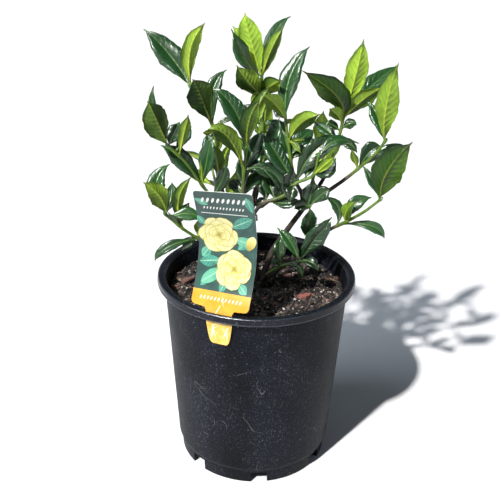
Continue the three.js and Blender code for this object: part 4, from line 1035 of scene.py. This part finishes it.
# Each shoot: its name, how many of its points are wood, its bud's length, its points from the wood to the
# tip, and its leaves or whorls. A leaf gives its node, which is a place along the points, its reach from
# there, its width, the side that it shows, its bow, its turn in degrees and how much painted shade darkens
# its green. A whorl gives its node, its count of leaves and their length.
SHOOTS = [
    Shoot("left_tall", 4, 6, [
        CROWN, (-10, 1, 222), (-24, 2, 256), (-33, 3, 284), (-39, 4, 305), (-44, 5, 352), (-56, 8, 373),
        (-65, 10, 389),
    ], [
        (7, (-44, 4, 54), 24, TOP, (4, 2, -0.8)), (7, (14, -4, 57), 16, UNDER, (-6.8, 0, 4.5)),
        (5.1, (-15, -19, 46), 26, UNDER, (-1, -4, 5), 12, 0.95), (5, (11, 10, 54), 16, TOP, (-7, 2, 4)),
        (5, (19, -4, 9), 6, TOP, (0, 0, 3)), (4.9, (-9, -10, 2), 6, UNDER),
        (4, (-4, -12, 34), 15, UNDER, (1, -2, 1), 0, 0.5), (4.1, (-10, 12, 34), 16, TOP, (-2, 1, 2)),
    ]),
    Shoot("left_middle", 2, 4, [
        (-24, 2, 256), (-39, -8, 279), (-53, -15, 301), (-68, -24, 327), (-83, -30, 344),
    ], [
        (4, (-14, -14, 44), 27, UNDER, (0, -4, 2), 0, -0.7), (4, (-13, -8, 57), 9, TOP, (-5.5, 0, 0)),
        (4, (9, 6, 21), 16, TOP), (3.4, (10, -4, 38), 12, UNDER, (0, 0, 2)),
        (2, (-37, -23, 46), 18, TOP, (2, 0, 4)), (2, (-1, -8, 26), 5, UNDER), (2.05, (9, -12, 50), 18, TOP),
        (1.4, (13, -10, 36), 15, TOP, (3, 0, 1)), (3.6, (13, 10, 22), 13, TOP),
        (1.1, (-16, -4, -2), 12, TOP, (0, 0, 3)), (1.6, (9, -8, -10), 12, TOP),
    ]),
    Shoot("centre", 4, 8, [
        CROWN, (-5, -3, 225), (-12, -7, 258), (-15, -8, 285), (-14, -10, 316), (-12, -12, 338),
        (-11, -12, 348),
    ], [
        (4, (-32, -24, 45), 19, UNDER, (2, -6, 14), 0, 0.9), (5, (-33, -4, 58), 20, TOP, (5, 0, 7)),
        (4.9, (-30, -12, 18), 12, TOP, (1, -1, 4)), (5, (11, -6, 46), 17, UNDER, (-4, -5, 4), 0, 0.75),
        (5, (21, 22, 52), 16, UNDER, (-3, -1, 5), 0, 0.8), (4, (32, -8, -10), 14, TOP, (0, 0, 8)),
        (3.6, (14, 6, 34), 17, TOP, (2, 0, 2)), (3.4, (-4, 8, 27), 12, TOP, (1, 0, 0)),
        (2.2, (12, -8, 3), 14, TOP, (0, 0, 2)), (4, (16, 14, 34), 17, TOP),
        (3.1, (20, 12, 22), 17, TOP, (0, 0, 3)), (3.15, (-14, 8, 10), 14, TOP, (0, 0, 3)),
    ]),
    Shoot("top", 4, 8, [
        CROWN, (-6, 6, 230), (-6, 10, 268), (-1, 14, 303), (3, 20, 346), (2, 24, 378), (1, 26, 396),
    ], [
        (6, (-17, -4, 57), 22, UNDER, (-2, -2, 4)), (6, (-28, 10, 43), 19, UNDER, (2, 0, 3)),
        (6, (-27, -36, 52), 22, TOP, (-2, -6, -4)), (6, (26.5, 24, 56), 12, TOP, (-6, 2, 4)),
        (6, (19, 2, 46), 13, UNDER, (-3, -2, -1), 0, -0.7), (6, (14, 18, 32), 11, UNDER, (0, 2, 1)),
        (5, (-24, -20, 32), 22, UNDER, (1, -4, -2), 0, 1.2),
        (5, (16, -18, 19), 19, UNDER, (-2, -2, 2), 0, 1), (5, (-10, -18, -4), 11, UNDER, (0, -1, 4)),
        (4.2, (24, -6, -14), 15, TOP, (0, 0, 6)), (4.1, (-19, 6, 20), 16, TOP, (0, 0, 2)),
        (3.5, (16, -8, 36), 18, TOP, (3, 0, 0)), (3.4, (26, 12, 10), 18, TOP, (0, 0, 5)),
        (4.5, (3, -6, 22), 13, UNDER, (1, -2, 2), 0, 0.6), (4, (13, 8, -22), 16, TOP, (4, 0, 2)),
        (3.2, (-15, 10, 24), 16, TOP), (2.1, (15, -10, 6), 14, TOP, (0, 0, 2)),
        (3.1, (22, 12, -8), 16, TOP, (0, 0, 4)), (3.15, (-18, 10, -6), 14, TOP, (0, 0, 3)),
    ]),
    Shoot("centre_right", 3, 12, [
        FORK, (42, 5, 288), (35, 0, 303), (30, -2, 324), (27, 0, 342), (24, 4, 362),
    ], [
        (5, (-20, -26, 27), 16, UNDER, (0, -3, 4), 0, 0.7), (5, (20, 4, 69), 21, TOP, (-8, 1, 1)),
        (5, (-12, 4, 10), 11, TOP, (2, -1, -1)), (4, (26, -18, 30), 18, UNDER, (-3, -1, 5), 0, -1.1),
        (4, (11, -10, -8), 7, UNDER, (0, 0, 3), 0, 0.6), (4, (14, -8, 4), 6, UNDER, (0, 0, 0), 0, 0.6),
        (3.2, (22, 14, 22), 17, TOP, (0, 0, 4)), (3.1, (-8, 4, 26), 15, TOP),
        (3, (16, 10, 6), 15, TOP, (0, 0, 4)),
    ]),
    Shoot("front", 2, 5, [
        (-12, -7, 258), (4, -8, 281), (23, -12, 291), (35, -12, 304), (51, -15, 314), (55, -15, 332),
    ], [
        (1.3, (30, -12, 6), 12, TOP, (1, 0, -3)), (1.2, (-2, 4, 20), 15, TOP),
        (2, (-20, -16, 32), 15, TOP, (5, 0, 4)), (3, (-32, 0, 50), 22, TOP, (-1, -2, 1)),
        (2.8, (-17, 4, 22), 14, TOP, (0, 1, 2)), (3, (41, -4, 49), 19, TOP, (-6, 0, 6)),
        (5, (32, 5, 12), 13, TOP, (-3, 0, 8)), (4, (20, -4, 18), 19, TOP, (0, -2, -3)),
        (4, (17, -12, 22), 9, UNDER, (0, 0, 0), 0, 0.6), (2.9, (-4, -14, -12), 14, TOP, (0, 0, 3)),
        (1.6, (10, -8, 22), 15, TOP), (3.5, (8, 12, 24), 16, TOP), (2.3, (6, -4, 22), 17, TOP, (0, 0, 2)),
        (1.6, (-10, 8, 24), 17, TOP), (1.9, (14, -6, 10), 14, TOP),
    ]),
    Shoot("fork", 2, 3, [
        FORK, (47, 2, 274), (50, -4, 278),
    ], [
        (2, (-2, 6, -36), 17, TOP, (2, -3, 2)), (2, (-14, -8, 0), 12, TOP, (0, 0, 2)),
        (2, (19, -9, 20), 15, TOP, (0, 0, 3)), (1.2, (6, -10, 30), 18, TOP),
    ]),
    Shoot("right_back", 3, 6, [
        FORK, (51, 14, 278), (66, 22, 301), (77, 28, 335), (81, 30, 357),
    ], [
        (4, (-43, -22, 48), 25, UNDER, (12, -4, 0.5), 0, -1), (4, (11, -14, 75), 21, UNDER, (1.5, 1, 1)),
        (4, (31, -16, 33), 17, UNDER, (0, 1, 3), 0, -0.7), (4, (55, 18, 51), 19, TOP, (-4, 1, 0)),
        (3, (18, -14, -7), 12, TOP, (0, 0, 3)), (3, (-22, 14, 14), 15, TOP, (0, 1, 1)),
        (2.8, (-10, 8, -18), 14, TOP, (-3, 0, 2)), (3.5, (14, -6, 6), 13, TOP, (0, 0, 3)),
        (3.8, (-14, -14, 16), 14, UNDER, (0, -1, 2), 0, 0.7), (3.4, (-14, -6, 8), 12, TOP, (0, 0, 2)),
    ]),
    Shoot("right", 4, 4, [
        FORK, (53, 9, 278), (67, 5, 290), (84, 0, 306), (94, -4, 317), (109, -10, 335), (116, -12, 347),
    ], [
        (6, (0, -20, 75), 22, UNDER, (-5, -4, -5)), (6, (-15, 13, 34), 15, TOP, (2, 2, 1)),
        (4, (20, -4, 24), 17, TOP, (-1, -1, 5)), (4, (-8, -6, 20), 8, UNDER),
        (4, (45, -16, 28), 11, TOP, (-1, -1, 6)),
    ]),
    Shoot("right_low", 4, 4, [
        CROWN, (28, 4, 210), (52, 4, 236), (72, -3, 254), (86, -16, 268), (101, -26, 283), (113, -32, 297),
    ], [
        (6, (19, -18, 61), 29, UNDER, (-8.5, -3, 0), 20, 1.3), (6, (-15, 10, 29), 9, TOP, (1, 1, -1)),
        (4, (22, -4, 25), 14, TOP, (-6, -1, 5)), (3.4, (-13, -6, 31), 11, TOP, (7, 1, 2)),
        (3.7, (41, -18, -9), 11, TOP, (6, -3, 7)), (3.9, (6, -8, 24), 15, UNDER, (-4, 0, 0), 0, -0.6),
    ]),
    Shoot("left_low", 3, 4, [
        CROWN, (-16, -5, 210), (-35, -10, 230), (-58, -20, 249), (-72, -25, 261), (-87, -30, 277),
    ], [
        (5, (-17, -14, 37), 20, UNDER, (6, -3, 2), 0, 0.3), (5, (2, 10, 46), 19, TOP, (-11, 1, 2)),
        (5, (4, 12, 27), 14, TOP, (2, -1, 0)), (4, (9, 6, 49), 13, UNDER, (-8, -1, 3), 0, 0.4),
        (4.8, (31, -6, 0), 14, TOP, (0, 0, 5)), (4, (-12, -14, 20), 8, TOP),
        (3, (-41, -24, -16), 11, TOP, (-6, -4, 5)), (3, (-14, -12, -8), 12, TOP, (0, 0, 3)),
        (3, (3, 6, 18), 12, UNDER), (4.3, (10, 4, 20), 13, TOP),
    ]),
    Shoot("front_low", 2, 5, [
        CROWN, (10, -4, 203), (25, -8, 215), (42, -12, 222),
    ], [
        (2, (-2, -2, 29), 14, TOP, (-2, -1, 3)), (3, (-22, 4, 33), 14, TOP, (3, -2, 1)),
        (3, (30, -14, 51), 21, TOP, (-1, -1, 2)), (3, (18, -20, -1), 12, TOP, (0, -2, 6)),
        (2, (20, -18, -7), 9, TOP, (4, -3, 9)), (2, (-10, -4, 3), 8, TOP, (0, 0, 4)),
    ]),
    Shoot("back_left", 2, 4, [(-24, 2, 256), (-34, 22, 266), (-42, 42, 278), (-48, 60, 292)],
          whorls=[(2, 3, 44), (3, 3, 46)]),
    Shoot("back", 2, 5, [(-6, 10, 268), (0, 34, 282), (3, 54, 300), (4, 68, 320)],
          whorls=[(2, 3, 48), (3, 4, 50)]),
    Shoot("back_right", 2, 4, [FORK, (52, 34, 280), (58, 54, 292), (62, 68, 308)],
          whorls=[(2, 3, 44), (3, 3, 46)]),
    Shoot("back_low", 2, 4, [CROWN, (-10, 26, 210), (-20, 46, 226), (-28, 62, 244)],
          whorls=[(2, 3, 38), (3, 3, 42)]),
]


def stem_parts(shoot):
    """The wood's points and the green part's points, sampled on one curve, with the seat gap between."""
    points = Curve(shoot.stem).samples((len(shoot.stem) - 1) * 6)
    cut = (shoot.wood - 1) * 6
    green = points[cut:]
    green[0] = green[0] + unit(green[1] - green[0]) * SEAT_GAP
    return points[:cut + 1], green


def whorl_leaves(shoot, draw):
    """Leaves set round the stem by rule, as in the part."""
    rows = []
    for level, (node, count, length) in enumerate(shoot.whorls):
        along = unit(np.array(shoot.stem[node], float) - shoot.stem[node - 1])
        first = unit(np.cross([0, 0, 1], along))
        start = level * math.pi / 2 + 0.6 * draw()
        for k in range(count):
            outward = turn_about(first, along, start + k * FULL_TURN / count)
            spread = math.radians(38 + 22 * draw())
            size = length * (0.85 + 0.3 * draw())
            rise, lean = math.cos(spread), math.sin(spread)
            bow = (along * lean - outward * rise) * size * (0.02 + 0.1 * draw())
            width = size * (0.34 + 0.06 * draw())
            rows.append(leaf(node, (along * rise + outward * lean) * size, width, FREE, bow))
    return rows


def blade_share(t):
    return max(0.0, (t - STALK_SHARE) / (1 - STALK_SHARE))


def half_width(t, width, widest):
    """Stalk, then a blade widest past its middle that draws in to a narrow drip tip."""
    along = blade_share(t)
    swell = max(math.sin(math.pi * min(along / DRIP_START, 1) ** widest), 0)
    drip = DRIP_HALF_WIDTH * (1 - 0.75 * fade(along, DRIP_START, 1)) if along > 0.5 else 0
    return max(STALK_HALF_WIDTH * (1 - t), drip, width / 2 * swell ** OUTLINE_POWER)


def blade_row(row, t, phase, length):
    """One row across a leaf: places across, lifts of both sides, and the numbers for its veins and edge."""
    u, size = COLUMNS, np.abs(COLUMNS)
    half = half_width(t, row.width, WIDEST_POWER + WIDEST_SPREAD * math.sin(WIDEST_TURNS * phase))
    along = blade_share(t)
    blade = fade(along, 0, BLADE_START)
    ruffle = math.sin(27 * t + 3 * phase) + 0.7 * math.sin(51 * t + 5 * phase)
    places = u * half * (1 + EDGE_WOBBLE * ruffle * fade(t, 0, 0.2))

    fold = BLADE_FOLD + FOLD_SPREAD * math.sin(phase)
    wave = np.sin(WAVE_TURNS * t + phase + WAVE_LAG * np.sign(u)) * (1 - along ** 6)
    lift = size * blade * (half * fold + WAVE_SHARE * row.width * wave)
    lift += BELLY * half * blade * size * (1 - size) ** 1.2
    lift -= EDGE_ROLL * half * blade * fade(size, ROLL_START, 1) ** 2
    lift += TIP_CURL * length * fade(along, CURL_START, 1) ** 2 * row.side

    stage = VEIN_PAIRS * (along * 1.08 - VEIN_SWEEP * size ** 1.3) + VEIN_STAGGER * np.sign(u)
    window = fade(size, 0, 0.12) * fade(size, 1, 0.75) * blade * fade(along, 1, 0.92)
    crest = np.cos(FULL_TURN * stage)
    quilt = -QUILT_DEPTH * fade(row.width, 0, FULL_QUILT_WIDTH) * crest * window
    groove = fade(crest, GROOVE_START, 1) * window
    rib = np.exp(-(u * half / RIB_WIDTH) ** 2) * (1 - 0.6 * along)
    thick = STALK_THICKNESS + (BLADE_THICKNESS - STALK_THICKNESS) * fade(t, 0, STALK_SHARE * 1.6)
    body = thick / 2 * np.sqrt(np.clip(1 - size ** (2 if blade < 1 else 8), 0.02, 1))
    top = lift + body + TOP_QUILT * quilt - TOP_GROOVE * groove - TOP_RIB * rib * blade
    under = lift - body + UNDER_QUILT * quilt - UNDER_GROOVE * groove - UNDER_RIB * rib * blade

    # Darker tips and margins for the under side: partly dry tips, partly painted shade where a tip curls
    # over, more on some leaves than others.
    worn_and_painted_light = 0.5 + 0.5 * math.sin(3 * phase)
    tipped = min(fade(along + 0.09 * worn_and_painted_light, DARK_TIP_START, 1), 0.95)
    edge = np.clip(tipped + 0.7 * worn_and_painted_light * (size > 0.95) * blade, 0, 1)
    midrib = rib ** 2 * (0.4 + 0.6 * blade)
    return places, top, under, (midrib, along, stage, window, edge)


def put_leaf(shape, root, axis, row, phase, young, tone):
    """One leaf: a round stalk, a blade quilted between its veins, a sunken midrib and a waved edge."""
    tip = root + row.reach
    middle = (root + tip) / 2 + 2 * row.bow
    length = np.linalg.norm(row.reach) + np.linalg.norm(row.bow)
    chord = unit(row.reach)
    inner = unit(axis - chord * np.dot(axis, chord))
    facing = inner * (1 if row.side == FREE else INNER_SHARE) + TO_FRONT * row.side
    facing = turn_about(facing, chord, math.radians(row.turn))
    shares = [0, STALK_SHARE / 2, *np.linspace(STALK_SHARE, 1, int(np.clip(length * 1.05, 18, 72)))]
    # Painted shade: the whole leaf a little darker, and one half much darker, as if a shadow lay on it.
    painted_shade_half = np.clip(0.5 + PAINTED_SHADE_EDGE * np.sign(row.deep) * COLUMNS, 0, 1)
    tone_and_painted_shade = tone - abs(row.deep) * (0.3 + 0.7 * painted_shade_half)
    tops, unders, data = [], [], []
    for t in shares:
        point = (1 - t) ** 2 * root + 2 * t * (1 - t) * middle + t * t * tip
        tangent = unit(2 * (1 - t) * (middle - root) + 2 * t * (tip - middle))
        normal = unit(facing - tangent * np.dot(facing, tangent))
        places, top, under, (midrib, along, *veins) = blade_row(row, t, phase, length)
        line = point + np.outer(places, unit(np.cross(tangent, normal)))
        tops.append(line + np.outer(top, normal))
        unders.append(line + np.outer(under, normal))
        data.append(np.stack(np.broadcast_arrays(midrib, along, tone_and_painted_shade, young, *veins, 0), 1))
    faces = slab_faces(len(shares), len(COLUMNS))
    top_count = (len(shares) - 1) * (len(COLUMNS) - 1)
    slots = [0] * top_count + [1] * (len(faces) - top_count)
    shape.put(np.concatenate(tops + unders), faces, slots, np.concatenate(data * 2))


def put_bud(shape, tip, heading, length):
    """A closed bud: a slim spindle with twisted folds, set a little into its stem."""
    side = unit(np.cross(heading, [0.4, 0.1, 0.9]))
    other = np.cross(heading, side)
    points, rings = [], 14
    for t in np.linspace(0, 1, rings):
        radius = 0.25 + 1.75 * math.sin(math.pi * min(1, 0.12 + 0.88 * t)) ** 0.8 * (1 - 0.35 * t)
        for angle in ring_angles(STEM_SIDES):
            fold = 1 + 0.12 * math.cos(3 * angle + 5 * t)
            spot = side * math.cos(angle) + other * math.sin(angle)
            points.append(tip + heading * (t * (length + 1.5) - 1.5) + spot * radius * fold)
    ends = [tuple(range(STEM_SIDES))[::-1], tuple(range((rings - 1) * STEM_SIDES, rings * STEM_SIDES))]
    shape.put(points, ring_faces(rings, STEM_SIDES) + ends, 0, BUD_NUMBERS)


def make_shoot(index, shoot, materials):
    """A green stem that swells where leaves leave it, its bud, and its leaves, with painted shade making them
    darker inside the shrub.
    """
    shape = Shape(8)
    _, green = stem_parts(shoot)
    curve = Curve(shoot.stem)
    spans = len(shoot.stem) - 1
    rows = [leaf(*row) for row in shoot.leaves] + whorl_leaves(shoot, drawer(index + 1))
    nodes = [curve.point(row.node / spans) for row in rows]
    samples = Curve(green).samples(len(green) * 4)
    radii = []
    for i, point in enumerate(samples):
        swell = max(math.exp(-(np.linalg.norm(point - node) / SWELL_REACH) ** 2) for node in nodes)
        radii.append(SHOOT_RADIUS * (1.08 - 0.3 * i / len(samples)) + STEM_SWELL * swell)
    grown = np.zeros((len(samples) * STEM_SIDES + 2, 8))
    grown[:-2, 3] = np.repeat(np.linspace(0, 1, len(samples)), STEM_SIDES)
    grown[-1, 3] = 1
    put_tube(shape, samples, radii, STEM_SIDES, 2, grown)
    put_bud(shape, green[-1], unit(green[-1] - green[-3]), shoot.bud)
    draw = drawer(index + LEAF_SEED)
    for i, row in enumerate(rows):
        share = row.node / spans
        root = curve.point(share) + unit(row.reach) * ROOT_OFFSET
        size = np.linalg.norm(row.reach)
        young = 0.3 * fade(size, YOUNG_REACH, 0) + 0.14 * draw()
        tone = 0.6 * draw()
        tone += SMALL_LEAF_TONE if size < SMALL_LEAF else WIDE_LEAF_TONE if row.width > WIDE_LEAF else 0
        # Painted shade: leaves near the shrub's heart come out darker, where shade falls inside it.
        tone -= INNER_PAINTED_SHADE * max(0, 1 - np.linalg.norm((root - SHRUB_HEART) / SHRUB_HEART_SIZE))
        phase = index * SHOOT_PHASE + i * LEAF_PHASE
        put_leaf(shape, root, curve.tangent(share), row, phase, young, tone)
    hand_over(shape.finish("foliage_" + shoot.name, materials), "shoot_" + shoot.name)


def make_shoots():
    # Ridge and groove colours paint highlight and shade beside the side veins; the under side's dark margin
    # is partly painted shade.
    top = leaf_material(
        "leaf_top", (0.0065, 0.045, 0.0095), (0.05, 0.17, 0.014), painted_ridge_highlight=(1.8, 1.6, 1.6),
        groove=(0.55, 0.65, 0.6), midrib=(0.1, 0.19, 0.04), margin=(1.5, 1.3, 0.8), gain=0.7,
        gloss=(0.28, 0.42), Coat_Weight=0.7, Coat_Roughness=0.24, Specular_IOR_Level=0.33)
    under = leaf_material(
        "leaf_under", (0.26, 0.44, 0.034), (0.64, 0.86, 0.1), painted_ridge_highlight=(1.45, 1.35, 1.6),
        groove=(0.2, 0.28, 0.2), midrib=(0.5, 0.56, 0.05), margin=(0.22, 0.3, 0.2), gain=0.62,
        gloss=(0.36, 0.52), Coat_Weight=0.05, Coat_Roughness=0.2, Specular_IOR_Level=0.3)
    materials = [top, under, stem_material()]
    for index, shoot in enumerate(SHOOTS):
        make_shoot(index, shoot, materials)


def make_wood():
    """The trunk's foot, the main stem and the branches, each tapered and a little uneven."""
    shape = Shape()
    draw = drawer(WOOD_SEED)
    foot = np.array([*CROWN[:2], TRUNK_FOOT], float)
    heights = np.linspace(0, CROWN[2] + 4 - TRUNK_FOOT, 16)
    radii = [TRUNK_RADIUS - TRUNK_TAPER * (h / heights[-1]) ** 3 for h in heights]
    put_tube(shape, [foot + [0, 0, h] for h in heights], radii, 18)
    branches = [(MAIN_STEM, MAIN_RADIUS + 0.5, MAIN_RADIUS - 0.5)]
    branches += [(stem_parts(shoot)[0], WOOD_RADIUS + 0.25, SHOOT_RADIUS + 0.2) for shoot in SHOOTS]
    for points, thick, thin in branches:
        count = max(12, len(points) * 5)
        radii = [thick + (thin - thick) * i / count + 0.18 * (draw() - 0.5) for i in range(count + 1)]
        put_tube(shape, Curve(points).samples(count), radii, STEM_SIDES)
    hand_over(shape.finish("woody_branches", [bark_material()]), "woody_stems")


# The camera, the floor and the light

def make_camera():
    data = bpy.data.cameras.new("camera")
    data.lens = CAMERA_LENS
    camera = link_new("camera", data)
    forward = Vector((0, math.cos(CAMERA_ELEVATION), -math.sin(CAMERA_ELEVATION)))
    right = Vector((1, 0, 0))
    up = right.cross(forward)
    c, s = math.cos(CAMERA_ROLL), math.sin(CAMERA_ROLL)
    turn = Matrix((right * c + up * s, up * c - right * s, -forward)).transposed().to_4x4()
    camera.matrix_world = Matrix.Translation(CAMERA_TARGET - forward * CAMERA_DISTANCE) @ turn
    bpy.context.scene.camera = camera


def make_floor():
    corners = [(x * FLOOR_REACH, y * FLOOR_REACH, 0) for x, y in ((-1, -1), (1, -1), (1, 1), (-1, 1))]
    floor = new_piece("floor", corners, [(0, 1, 2, 3)])
    paint = Material("floor")
    shade = paint.ramp(paint.noise(3, 3), (0.3, (0.58, 0.59, 0.62)), (0.7, (0.61, 0.62, 0.65)))
    floor.data.materials.append(paint.finish(Base_Color=shade, Roughness=0.9))


def make_lamp(name, kind, place, target, power, colour, **settings):
    """A lamp at a place that shines at a target."""
    data = bpy.data.lights.new(name, kind)
    data.energy = power
    data.color = colour
    for key, value in settings.items():
        setattr(data, key, value)
    lamp = link_new(name, data)
    lamp.location = place
    lamp.rotation_euler = (Vector(target) - Vector(place)).to_track_quat("-Z", "Y").to_euler()


def make_light():
    """A hard sun, a cool window above the shrub, and a world that is bright at the horizon, dim overhead."""
    world = bpy.data.worlds.new("world")
    world.use_nodes = True
    paint = Paint(world.node_tree)
    height = paint.add("SeparateXYZ", {"Vector": paint.add("TexCoord", {}, "Generated")}, "Z")
    dome = paint.ramp(height, (0.05, (0.93, 0.95, 0.97)), (0.19, (0.11, 0.125, 0.14)))
    paint.fill(world.node_tree.nodes["Background"].inputs["Color"], dome)
    bpy.context.scene.world = world
    make_lamp("key", "SUN", SUN_PLACE, (0, 0, 0), SUN_POWER, (1, 0.97, 0.92), angle=SUN_SPREAD)
    make_lamp("window", "AREA", WINDOW_PLACE, WINDOW_TARGET, WINDOW_POWER, (0.82, 0.91, 1), size=WINDOW_SIZE)
    bpy.context.scene.view_settings.view_transform = "Standard"


make_camera()
make_floor()
make_light()
make_pot()
make_card()
make_design()
make_mix()
make_wood()
make_shoots()
